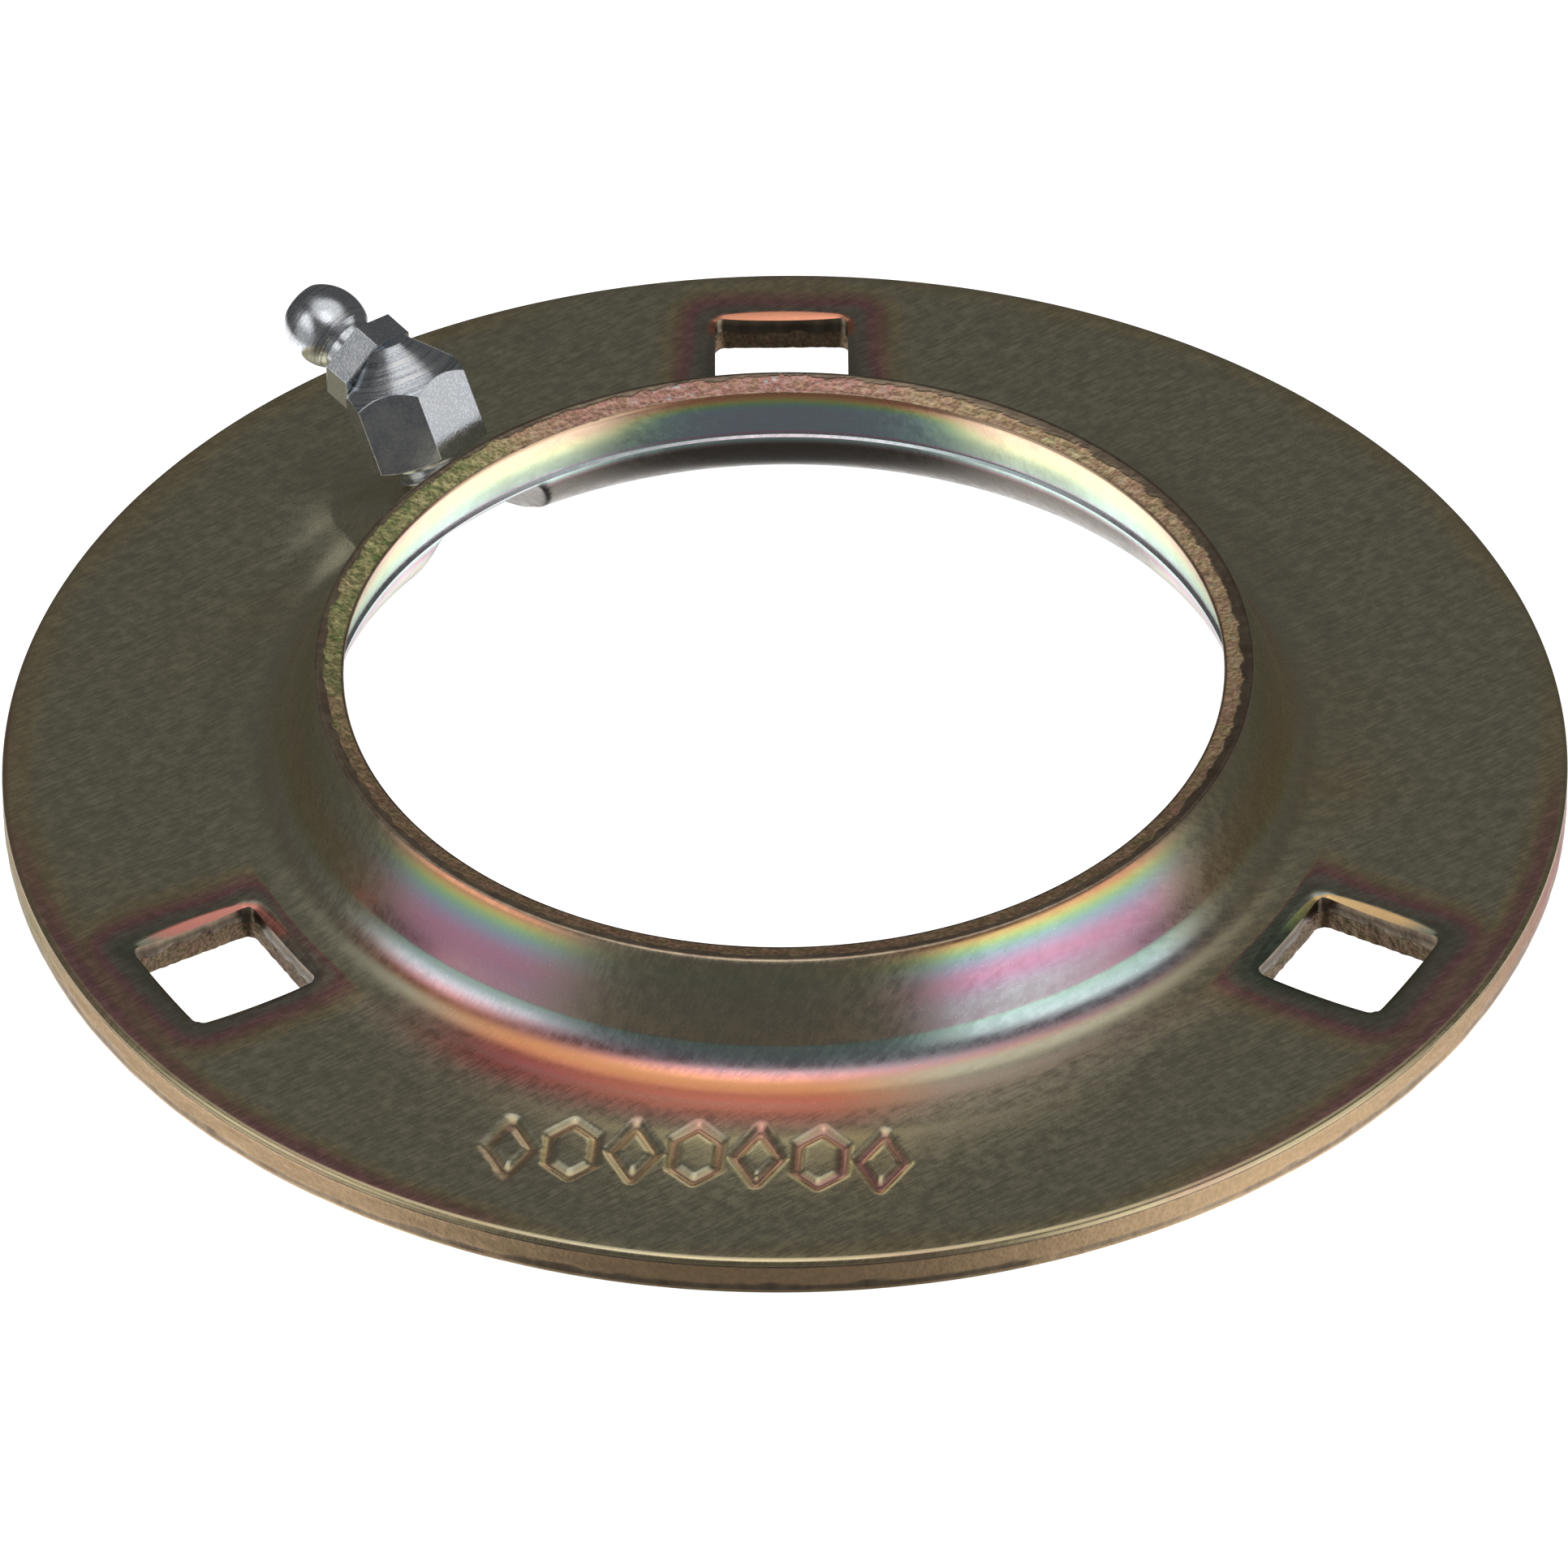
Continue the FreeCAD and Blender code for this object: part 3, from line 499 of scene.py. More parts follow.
def patch_rows(kinds, radii, side):
    """Grid rows across a hole's patch on one side of the plate, from the outermost in."""
    rows = np.where((radii <= PATCH_OUTER + CLOSE) & (kinds == side))[0]
    return np.append(rows, rows[-1] + 1) if side == "top" else rows[::-1]


def patch_ring(grid, rows, columns):
    """The grid points round one hole's patch, in the order that hole_edge follows, and its side counts."""
    first, last = columns
    ring = np.concatenate([
        grid[rows[-1], first:last],
        grid[rows[::-1][:-1], last],
        grid[rows[0], last:first:-1],
        grid[rows[:-1], first]])
    return ring, (last - first, len(rows) - 1) * 2


def fill_patch(shell, ring, edge_ids, edge, side):
    """Rings of faces from a patch's border in to the edge of its hole."""
    border = np.vstack(shell.points)[ring]
    previous = ring
    for layer in range(1, PATCH_LAYERS):
        share = 1.0 - (1.0 - layer / PATCH_LAYERS) ** PATCH_CROWDING
        current = shell.add(border * (1.0 - share) + edge * share, side)
        shell.band(previous, current, COATED)
        previous = current
    shell.band(previous, edge_ids, COATED)


def punch_hole(shell, grid, top_rows, back_rows, columns, azimuth, seed):
    """One hole's patch on top, the loops down its sides, and its patch on the back."""
    ring, counts = patch_ring(grid, top_rows, columns)
    loops = hole_loops(azimuth, counts, seed)
    ids = [shell.add(xyz, "die" if n < ROLL_LOOPS else "hole", torn) for n, (xyz, torn) in enumerate(loops)]
    fill_patch(shell, ring, ids[0], loops[0][0], "top")
    for n in range(len(ids) - 1):
        shell.band(ids[n], ids[n + 1], COATED if n < ROLL_LOOPS - 1 else CUT)
    back_ring = patch_ring(grid, back_rows, columns)[0]
    fill_patch(shell, back_ring, ids[-1], loops[-1][0], "back")


def turned_shell():
    """The lathe grid with three patches left open, filled with rings that end on the square holes."""
    shell = Shell()
    angles = azimuths()
    grid, kinds, radii = lathe(shell, angles)
    keep = np.ones(grid.shape, bool)
    top_rows = patch_rows(kinds, radii, "top")
    back_rows = patch_rows(kinds, radii, "back")
    for k, azimuth in enumerate(HOLE_AZIMUTHS):
        columns = np.searchsorted(angles, [azimuth - PATCH_HALF, azimuth + PATCH_HALF])
        for rows in (top_rows, back_rows):
            keep[rows.min():rows.max(), columns[0]:columns[1]] = False
        punch_hole(shell, grid, top_rows, back_rows, columns, azimuth, HOLE_SEED * k)
    below = np.roll(grid, -1, axis=0)
    quads = np.stack([grid, below, np.roll(below, -1, axis=1), np.roll(grid, -1, axis=1)], axis=-1)
    look = np.where(np.isin(kinds, ("rim", "lip")), CUT, COATED)
    shell.quads(quads[keep], np.broadcast_to(look[:, None], grid.shape)[keep])
    return shell


# ======== pressed and stamped shapes
def radius_of(points):
    return np.hypot(points[:, 0], points[:, 1])


def azimuth_of(points):
    return np.degrees(np.arctan2(points[:, 1], points[:, 0])) % 360.0


def turned_places(points, degrees):
    """X and Y of each point in axes turned by degrees about Z."""
    turn = math.radians(degrees)
    return (points[:, 0] * math.cos(turn) + points[:, 1] * math.sin(turn),
            points[:, 1] * math.cos(turn) - points[:, 0] * math.sin(turn))


def soften_root(points, run):
    """The plate dishes up a little towards the collar, so the root fillet has no hard start."""
    blend = ROOT_BLEND * (1.0 - smooth(radius_of(points), *(BEND[0] + reach for reach in ROOT_BLEND_REACH)))
    softer = THICKNESS + smooth_max(points[:, 2] - THICKNESS, 0.0, blend)
    near_root = in_runs(run, "top", "root")
    points[near_root, 2] = softer[near_root]


def raise_pad(points, run):
    """The pressed pad on top and the grease pocket under it, blended into the plate and collar."""
    out, side = turned_places(points, FITTING_AZIMUTH)
    side = np.abs(side)
    ramp = THICKNESS + (PAD_FOOT - out) * RAMP
    pad = ramp - FLANK * (smooth_max(side - PAD_HALF_WIDTH, 0.0, PAD_EDGE) - EDGE_LIFT)
    upper = in_runs(run, "top", "root", "wall") & (out > PAD_START) & (pad > points[:, 2] - PAD_REACH)
    lifted = np.maximum(points[:, 2], smooth_max(points[:, 2], pad, PAD_BLEND) - PAD_SINK)
    points[upper, 2] = lifted[upper]
    roof = ramp - THICKNESS / math.cos(math.radians(FITTING_TILT))
    roof -= FLANK * (smooth_max(side - POCKET_HALF_WIDTH, 0.0, POCKET_EDGE) - EDGE_LIFT)
    lower = in_runs(run, "seat", "bell", "back") & (out > POCKET_START)
    points[lower, 2] = np.maximum(points[:, 2], roof)[lower]


def mark_depth(points):
    """How deep the row of stamped lozenges and hexagons goes at each point, from 0 to 1."""
    x, y = turned_places(points - np.array([*MARK_CENTRE, 0.0]), MARK_TURN)
    y = np.abs(y)
    depth = np.zeros(len(points))
    for k, sides in enumerate(MARK_SIDES):
        u = np.abs(x - (k - (len(MARK_SIDES) - 1) / 2.0) * MARK_PITCH)
        share = 1.0 if sides == 4 else 0.5
        slant = math.hypot(share / MARK_HALF_WIDTH, 1.0 / MARK_HALF_HEIGHT)
        inside = (u * share / MARK_HALF_WIDTH + y / MARK_HALF_HEIGHT - 1.0) / slant
        inside = np.maximum(inside, y - MARK_HALF_HEIGHT)
        if sides == 6:
            inside = np.maximum(inside, u - MARK_HALF_WIDTH)
        depth = np.maximum(depth, 1.0 - (inside / MARK_STROKE) ** 2)
    return depth


def torn_lip(points):
    """Where the lip's sheared face is torn rather than burnished, from 0 to 1."""
    share = (radius_of(points) - LIP_INNER_R) / (LIP_OUTER_R - LIP_INNER_R)
    border = LIP_TORN_SHARE + LIP_TORN_WIDER * near_azimuth(azimuth_of(points), WIDE_TEAR)
    border += LIP_TORN_WANDER * layered_noise(points, *LIP_BORDER_NOISE)
    outer = smooth(share, border - LIP_TORN_EDGE, border + LIP_TORN_EDGE)
    return (1.0 - outer) * smooth(share, *LIP_TORN_START)


def roughness_push(points, run):
    """How far each point moves outwards: torn grain on the lip, waviness on the rim."""
    lip = torn_lip(points) * (LIP_GRAIN * layered_noise(points, *LIP_GRAIN_NOISE) - LIP_SINK)
    rim = np.minimum(RIM_WAVE * (layered_noise(points, *RIM_WAVE_NOISE) - 1.0), 0.0)
    push = np.where(in_runs(run, "lip"), lip, 0.0)
    return np.where(in_runs(run, "rim"), rim, push)


# ======== measures kept for the materials
def near_azimuth(azimuth, spot):
    """1 within a spot's full reach of its centre, 0 beyond its outer reach."""
    centre, full, gone = spot
    off = np.abs((azimuth - centre + 180.0) % 360.0 - 180.0)
    return 1.0 - smooth(off, full, gone)


def hole_distance(points):
    """Distance in the plate's plane from the nearest bolt hole's edge."""
    nearest = np.full(len(points), RIM)
    for azimuth in HOLE_AZIMUTHS:
        out, side = turned_places(points, azimuth)
        du = np.maximum(np.abs(out - BOLT_CIRCLE) - SQUARE_HALF, 0.0)
        dv = np.maximum(np.abs(side) - SQUARE_HALF, 0.0)
        nearest = np.minimum(nearest, np.hypot(du, dv))
    return nearest


def far_side(points):
    """1 on the +Y edge of each bolt hole, 0 on its other edges."""
    offset = np.full(len(points), RIM)
    for azimuth in HOLE_AZIMUTHS:
        away = points[:, :2] - on_arc((0.0, 0.0), BOLT_CIRCLE, azimuth)
        offset = np.where(np.hypot(away[:, 0], away[:, 1]) < 2.0 * SQUARE_HALF, away[:, 1], offset)
    return smooth(offset, *FAR_SIDE)


def die_order(azimuth):
    """The film on the rolled edge of each bolt hole: coral, pink, and yellow running to orange, the colour of
    a painted highlight on the far edges.
    """
    across = np.clip(0.5 + 0.5 * (azimuth - RIGHT_HOLE) / RIGHT_DIE_HALF_SPAN, 0.0, 1.0)
    order = RIGHT_DIE_HUE - RIGHT_DIE_DIP * np.sin(np.pi * across) + RIGHT_DIE_RISE * across
    for hole, hue in ((FAR_HOLE, FAR_DIE_HUE), (LEFT_HOLE, LEFT_DIE_HUE)):
        order = np.where(near_azimuth(azimuth, (hole, *HOLE_SECTOR)) > 0.5, hue, order)
    return order


def root_angle(points):
    """Degrees round the root fillet, 90 at the plate."""
    return np.degrees(np.arctan2(BEND_RADIUS - points[:, 2], BEND[0] - radius_of(points)))


def film_shows(points):
    """How much the film shows on the plate's inner edge, on the root and on the wall: a real film, shown most
    where the lights' highlights fall, which is a painted sheen.
    """
    azimuth = azimuth_of(points)
    # Painted sheen: the film is strongest where the side lights' highlights fall on the wall.
    strong = np.maximum(near_azimuth(azimuth, LEFT_FILM_SHEEN), near_azimuth(azimuth, RIGHT_FILM_SHEEN))
    behind = BACK_RAINBOW_SHARE * near_azimuth(azimuth, BACK_RAINBOW)
    wall = np.maximum(between((RAINBOW_FLOOR, 1.0), strong), behind)
    # Painted highlight colour on the root and the plate below it, at the front.
    warm = near_azimuth(azimuth, WARM_ROOT_SHEEN)
    low_root = smooth(root_angle(points), *LOW_ROOT)
    root = np.maximum(wall, near_azimuth(azimuth, ROOT_FILM_SHEEN)) * (1.0 - low_root * (1.0 - warm))
    # Painted glow: the film fades out onto the plate beside the root.
    glow = 1.0 - smooth(radius_of(points), *(BEND[0] + reach for reach in GLOW_REACH))
    plate = glow * (PLATE_RAINBOW * wall + PLATE_WARM_SHEEN * warm)
    return glow, plate, root, wall


def film_of(points, run):
    """The film's place in its colour order, and how much it shows, over every run that has it."""
    z = points[:, 2]
    azimuth = azimuth_of(points)
    glow, plate_shows, root_shows, wall_shows = film_shows(points)
    up_root = 1.0 - np.clip(root_angle(points) / 90.0, 0.0, 1.0)
    root = between(ROOT_ORDER, up_root) + ROOT_ORDER_TURN * smooth(azimuth, *ROOT_TURN)
    up_wall = np.clip((z - WALL_CLIMB[0]) / (WALL_CLIMB[1] - WALL_CLIMB[0]), 0.0, 1.0)
    far_seat = between(FAR_SEAT_ORDER, smooth(z, *FAR_SEAT_CLIMB))
    seat = between(SEAT_ORDER, smooth(z, *SEAT_CLIMB))
    bell = between(BELL_ORDER, smooth(z, *BELL_CLIMB))
    order = np.zeros(len(points))
    shows = np.zeros(len(points))
    for names, value, amount in (
            (("top",), PLATE_ORDER * glow, plate_shows),
            (("root",), root, root_shows),
            (("wall", "lip"), between(WALL_ORDER, up_wall ** 2), wall_shows),
            (("seat",), between((seat, far_seat), near_azimuth(azimuth, FAR_SEAT)), np.ones(len(z))),
            (("bell",), bell, smooth(z, *BELL_SHOWS)),
            # Only on each hole's far rolled edge: a painted highlight colour.
            (("die",), die_order(azimuth), DIE_SHEEN * far_side(points))):
        order = np.where(in_runs(run, *names), value, order)
        shows = np.where(in_runs(run, *names), amount, shows)
    drift = ORDER_DRIFT * value_noise(points, *FILM_NOISE) * smooth(order, *ORDER_DRIFT_FROM)
    return np.where(order > 0.0, np.clip(order + drift, 0.0, 1.0), 0.0), shows


def browning_of(points, run):
    """Painted shade: darker and browner under the seat, all round near the back and most at the far side."""
    z = points[:, 2]
    azimuth = azimuth_of(points)
    far = (1.0 - smooth(z, *BELL_SHADE)) * near_azimuth(azimuth, SHADED_BELL)
    bell = np.maximum(far, 1.0 - smooth(z, *BACK_SHADE))
    seat = SEAT_SHADE * (1.0 - smooth(z, *SEAT_SHADE_TOP)) * near_azimuth(azimuth, SHADED_SEAT)
    seat *= 1.0 - near_azimuth(azimuth, FAR_SEAT)
    return np.where(in_runs(run, "bell"), bell, np.where(in_runs(run, "seat"), seat, 0.0))


def halo_of(points, run):
    """The maroon film round the holes and along the rim, on the flat faces only."""
    azimuth = azimuth_of(points)
    inset = RIM - radius_of(points)
    rim = RIM_HALO * (1.0 - smooth(inset, *RIM_HALO_REACH))
    sides = np.maximum(near_azimuth(azimuth, HALO_LEFT), near_azimuth(azimuth, HALO_RIGHT))
    rim *= between((RIM_HALO_FLOOR, 1.0), sides)
    rim = np.where(inset < ROLL_HALO_REACH, ROLL_HALO, rim)
    holes = HOLE_HALO * (1.0 - smooth(hole_distance(points), *HOLE_HALO_REACH))
    return np.where(in_runs(run, "top", "back", "roll", "heel", "die"), np.maximum(holes, rim), 0.0)


def torn_of(points, run, cut):
    """Where sheared faces are torn: inside the lip, two strips on the rim, the lower part of each hole."""
    wave = STRIP_WANDER * layered_noise(points, *RIM_STRIP_NOISE)
    upper = between((STRIP_FLOOR, 1.0), smooth(points[:, 2] + wave, *STRIP_TOP))
    lower = 1.0 - smooth(points[:, 2] - 0.5 * wave, *STRIP_FOOT)
    rim = np.where(in_runs(run, "rim"), np.maximum(upper, lower), cut)
    return np.where(in_runs(run, "lip"), torn_lip(points), rim)


def cut_hue(points, run):
    """Where the sheared faces fall in their own range of colours, from green-gold to pale pink."""
    azimuth = azimuth_of(points)
    lip = CUT_HUE + LIP_PINKER * near_azimuth(azimuth, PINK_LIP)
    lip -= LIP_GREENER * near_azimuth(azimuth, GREEN_LIP)
    rim = RIM_HUE + RIM_PALER * near_azimuth(azimuth, PALE_RIM)
    rim -= RIM_GREENER * near_azimuth(azimuth, GREEN_RIM)
    hue = np.where(in_runs(run, "lip"), lip, CUT_HUE)
    return np.where(in_runs(run, "rim"), rim, hue)


def cut_brightness(points, run, torn):
    """Painted highlight on the lip, over its torn part round the far side and its burnished part at the front
    left; painted shade inside the holes.
    """
    azimuth = azimuth_of(points)
    tear = TEAR_HIGHLIGHT * between((TEAR_HIGHLIGHT_FLOOR, 1.0), torn) * near_azimuth(azimuth, LIT_TEAR)
    burnish = BURNISH_HIGHLIGHT * (1.0 - torn) * near_azimuth(azimuth, LIT_BURNISH)
    painted_light = np.where(in_runs(run, "lip"), 1.0 + np.maximum(tear, burnish), 1.0)
    return np.where(in_runs(run, "hole"), HOLE_SHADE, painted_light)


def measures_of(points, run, cut):
    """Everything the flange's materials read, by attribute name."""
    film, collar = film_of(points, run)
    torn = torn_of(points, run, cut)
    seat_flanks = 1.0 - near_azimuth(azimuth_of(points), FAR_SEAT)
    return {
        "film": film,
        # How much film shows; on the wall, root and the holes' far edges it is placed where highlights fall,
        # a painted sheen.
        "collar": collar,
        # Painted reflection: the seat whiter everywhere but its far centre.
        "painted_reflection": np.where(in_runs(run, "seat"), SEAT_REFLECTION * seat_flanks, 0.0),
        # Painted shade in the bend and low on the seat.
        "painted_shade": browning_of(points, run),
        "halo": halo_of(points, run),
        "torn": torn,
        "grain": np.where(in_runs(run, "rim"), RIM_GRAIN, 1.0),
        # Painted highlight on the lip and painted shade inside the holes.
        "painted_light": cut_brightness(points, run, torn),
        "hue": cut_hue(points, run),
        "spun": np.where(in_runs(run, "root", "wall", "seat", "bell"), 1.0, 0.0),
        "mark": np.where(in_runs(run, "top"), mark_depth(points), 0.0),
    }


# ======== flange object
def make_mesh(name, points, faces):
    """A mesh of the points that the faces use, and which points those are."""
    mesh = bpy.data.meshes.new(name)
    used = np.unique(faces)
    renumber = np.zeros(len(points), np.int64)
    renumber[used] = np.arange(len(used))
    mesh.from_pydata((points[used] * MM).tolist(), [], renumber[faces].tolist())
    mesh.validate()
    return mesh, used


def volume_sign(mesh):
    """Positive where the mesh's faces look outwards."""
    mesh.calc_loop_triangles()
    corners = np.zeros(len(mesh.loop_triangles) * 3, np.int32)
    mesh.loop_triangles.foreach_get("vertices", corners)
    co = np.zeros(len(mesh.vertices) * 3, np.float32)
    mesh.vertices.foreach_get("co", co)
    t = co.reshape(-1, 3)[corners].reshape(-1, 3, 3).astype(float)
    return float(np.einsum("ij,ij->i", t[:, 0], np.cross(t[:, 1], t[:, 2])).sum())


def outward_normals(mesh):
    """Vertex normals that point out of the metal; the faces are turned round if they looked in."""
    normals = np.zeros(len(mesh.vertices) * 3, np.float32)
    mesh.vertex_normals.foreach_get("vector", normals)
    normals = normals.reshape(-1, 3).astype(float)
    if volume_sign(mesh) > 0.0:
        return normals
    mesh.flip_normals()
    return -normals


def build_flange(materials):
    """The pressing, with the film's measures kept on its points for the materials."""
    shell = turned_shell()
    points = np.vstack(shell.points)
    run = np.concatenate(shell.runs)
    soften_root(points, run)
    raise_pad(points, run)
    mesh, used = make_mesh("flange", points, np.vstack(shell.faces))
    points, run, cut = points[used], run[used], np.concatenate(shell.cuts)[used]
    shift = outward_normals(mesh) * roughness_push(points, run)[:, None]
    shift[:, 2] -= np.where(in_runs(run, "top"), MARK_DEPTH * mark_depth(points), 0.0)
    mesh.vertices.foreach_set("co", ((points + shift) * MM).astype(np.float32).ravel())
    mesh.shade_smooth()
    mesh.set_sharp_from_angle(angle=math.radians(SHARP_ANGLE))
    for name, values in measures_of(points, run, cut).items():
        mesh.attributes.new(name, "FLOAT", "POINT").data.foreach_set("value", values.astype(np.float32))
    for material in materials:
        mesh.materials.append(material)
    mesh.polygons.foreach_set("material_index", np.concatenate(shell.looks).astype(np.int32))
    obj = bpy.data.objects.new("flange_pressing", mesh)
    bpy.context.scene.collection.objects.link(obj)
    return obj


# ======== node helper
WHITE = (1.0, 1.0, 1.0, 1.0)


def tint(red, green, blue):
    """A display colour from 0 to 255 as linear light."""
    return tuple((c / 255.0) ** 2.2 for c in (red, green, blue)) + (1.0,)


class Graph:
    """A material or world node tree, with a short way to add and join nodes."""

    def __init__(self, tree, output_kind):
        tree.nodes.clear()
        self.tree = tree
        self.output = self.node(output_kind)

    def node(self, kind, settings=None, **sockets):
        made = self.tree.nodes.new(kind)
        for key, value in (settings or {}).items():
            setattr(made, key, value)
        for key, value in sockets.items():
            self.set(made, key.replace("_", " "), value)
        return made

    def numbered(self, kind, settings, *values):
        """A node whose sockets are filled in order."""
        made = self.node(kind, settings)
        for number, value in enumerate(values):
            self.set(made, str(number), value)
        return made

    def set(self, node, key, value):
        socket = node.inputs[int(key)] if key.isdigit() else node.inputs[key]
        if isinstance(value, bpy.types.NodeSocket):
            self.tree.links.new(value, socket)
        else:
            socket.default_value = value

    def finish(self, shader):
        self.set(self.output, "0", shader)

    def math(self, operation, *values):
        return self.numbered("ShaderNodeMath", {"operation": operation}, *values).outputs[0]

    def total(self, *values):
        added = values[0]
        for value in values[1:]:
            added = self.math("ADD", added, value)
        return added

    def product(self, *values):
        multiplied = values[0]
        for value in values[1:]:
            multiplied = self.math("MULTIPLY", multiplied, value)
        return multiplied

    def clamped(self, value):
        return self.numbered("ShaderNodeClamp", None, value).outputs[0]

    def centred(self, value, amount):
        """A noise value moved to run either side of nought, times amount."""
        return self.product(self.math("SUBTRACT", value, 0.5), amount)

    def ease(self, value, low, high, bottom=0.0, top=1.0):
        settings = {"interpolation_type": "SMOOTHSTEP"}
        return self.numbered("ShaderNodeMapRange", settings, value, low, high, bottom, top).outputs[0]

    def mix(self, share, a, b):
        made = self.node("ShaderNodeMix", {"data_type": "RGBA"})
        for key, value in (("0", share), ("6", a), ("7", b)):
            self.set(made, key, value)
        return made.outputs[2]

    def mix_shader(self, share, a, b):
        return self.numbered("ShaderNodeMixShader", None, share, a, b).outputs[0]

    def scale(self, colour, amount):
        made = self.node("ShaderNodeVectorMath", {"operation": "SCALE"}, Scale=amount)
        self.set(made, "0", colour)
        return made.outputs[0]

    def stretch(self, place, factors):
        return self.numbered("ShaderNodeVectorMath", {"operation": "MULTIPLY"}, place, factors).outputs[0]

    def dot(self, a, b):
        return self.numbered("ShaderNodeVectorMath", {"operation": "DOT_PRODUCT"}, a, b).outputs["Value"]

    def ramp(self, value, stops, interpolation="EASE"):
        made = self.tree.nodes.new("ShaderNodeValToRGB")
        made.color_ramp.interpolation = interpolation
        elements = made.color_ramp.elements
        while len(elements) < len(stops):
            elements.new(0.5)
        for element, (at, colour) in zip(elements, stops):
            element.position = at
            element.color = tint(*colour)
        self.set(made, "0", value)
        return made.outputs[0]

    def attribute(self, name):
        return self.node("ShaderNodeAttribute", {"attribute_name": name}).outputs["Fac"]

    def noise(self, place, scale, detail, roughness=0.55):
        return self.node("ShaderNodeTexNoise", None, Vector=place, Scale=scale, Detail=detail,
                         Roughness=roughness).outputs[0]

    def along(self, place, azimuth, factors):
        """The place turned so its X runs along azimuth, then stretched, for grain along one direction."""
        turned = self.node("ShaderNodeVectorRotate", {"rotation_type": "Z_AXIS"}, Vector=place,
                           Angle=-math.radians(azimuth)).outputs[0]
        return self.stretch(turned, factors)

    def bump(self, height, strength, distance, **sockets):
        return self.node("ShaderNodeBump", None, Height=height, Strength=strength, Distance=distance,
                         **sockets).outputs[0]


def new_material(name, metallic=1.0):
    material = bpy.data.materials.new(name)
    material.use_nodes = True
    graph = Graph(material.node_tree, "ShaderNodeOutputMaterial")
    shader = graph.node("ShaderNodeBsdfPrincipled", None, Metallic=metallic)
    graph.finish(shader.outputs[0])
    place = graph.node("ShaderNodeTexCoord").outputs["Object"]
    return material, graph, shader, place


# ======== materials
PLATE_FILM = ((0.0, (222, 214, 184)), (0.28, (232, 214, 170)), (0.45, (226, 186, 160)),
              (0.62, (220, 164, 160)), (0.78, (186, 176, 156)), (1.0, (140, 152, 130)))
COLLAR_FILM = ((0.0, (222, 212, 176)), (0.05, (216, 146, 140)), (0.12, (246, 140, 128)),
               (0.19, (255, 186, 112)), (0.25, (240, 152, 158)), (0.31, (232, 240, 250)),
               (0.38, (206, 240, 230)), (0.45, (196, 232, 212)), (0.52, (206, 176, 206)),
               (0.58, (238, 166, 192)), (0.66, (214, 186, 216)), (0.75, (176, 210, 220)),
               (0.83, (186, 230, 172)), (0.89, (226, 236, 150)), (0.95, (255, 204, 140)),
               (1.0, (246, 164, 138)))
CUT_FILM = ((0.0, (150, 168, 110)), (0.25, (196, 190, 138)), (0.45, (228, 196, 154)),
            (0.6, (220, 178, 150)), (0.8, (228, 168, 156)), (1.0, (238, 224, 216)))
BURNISHED = ((0.3, (142, 124, 108)), (0.7, (172, 154, 130)))
# The dark colour of the painted shade under the seat and in the bend.
PAINTED_SHADE_BROWN = (112, 104, 96)

# Noises, as scale per metre, detail and roughness, and stretched grains, as scale along their own axes.
GRAIN_AZIMUTH = 35.0
PLATE_GRAIN = (420.0, 4600.0, 900.0)
GRAIN_NOISE = (1.0, 4.0, 0.7)
BROAD_NOISE = (38.0, 3.0)
MOTTLE_NOISE = (900.0, 4.0, 0.7)
SPECK_NOISE = (6500.0, 2.0)
TEAR_GRAIN_NOISE = (1500.0, 4.0, 0.7)
TEAR_PATCH_NOISE = (420.0, 3.0, 0.6)
TEAR_CRUMB_SCALE = 2800.0
SHEAR_STREAKS = (900.0, 900.0, 120.0)
STREAK_NOISE = (1.0, 3.0)
PIT_NOISE = (5200.0, 2.0, 0.6)
CLOUD_NOISE = (500.0, 3.0)
TURNING_RINGS = (90.0, 90.0, 5200.0)
RING_NOISE = (1.0, 4.0, 0.7)

# How far each noise moves the colour's place in its film, and the brightness.
PLATE_WANDER = {"broad": 0.8, "mottle": 0.12, "grain": 0.12}
MARK_DARKENS = 0.5
COLLAR_WANDER = 0.03
GRAIN_STREAK = 0.42
MOTTLE_STREAK = 0.1
TEAR_WANDER = 0.85
TEAR_PATCH_WANDER = 0.5
CRUMB_SHADE = 0.5
RING_SHADE = 3.0

# Eased ranges: where a measure starts and is full, and the value at both when it isn't 0 to 1.
SPECK_SHINE = (0.66, 0.76, 1.0, 1.7)
COATED_ROUGHNESS = (0.7, 1.3, 0.2, 0.34)
TEAR_SHADE = (0.3, 0.75, -0.38, 0.1)
TORN_MIX = (0.2, 0.8)
CUT_ROUGHNESS = (0.0, 1.0, 0.3, 0.5)
TEAR_RELIEF = (0.0, 1.0, 0.2, 1.0)
OFF_AXIS = (0.1, 0.4)
OFF_END_FACE = (0.98, 0.9)
# Painted glints: the pitting noise makes specks lighter than the metal round them.
PIT_GLINTS = (0.5, 0.64, 0.9, 1.35)
CLOUD_SHADE = (0.3, 0.7, 0.94, 1.02)
BRIGHT_ROUGHNESS = (0.3, 0.7, 0.12, 0.24)

# Relief: how much each noise counts in the height, then the bump's strength and depth.
GRAIN_RELIEF, SPECK_RELIEF, SPUN_RELIEF = 0.5, 0.6, 0.12
CRUMB_RELIEF, STREAK_RELIEF = 0.4, 0.2
PIT_RELIEF, RING_RELIEF = 0.5, 1.6
COATED_BUMP = (0.2, 0.02 * MM)
CUT_BUMP = (0.8, 0.12 * MM)
BRIGHT_BUMP = (0.45, 0.04 * MM)
BEVEL_SAMPLES = 6
BEVEL_RADIUS = 0.14 * MM


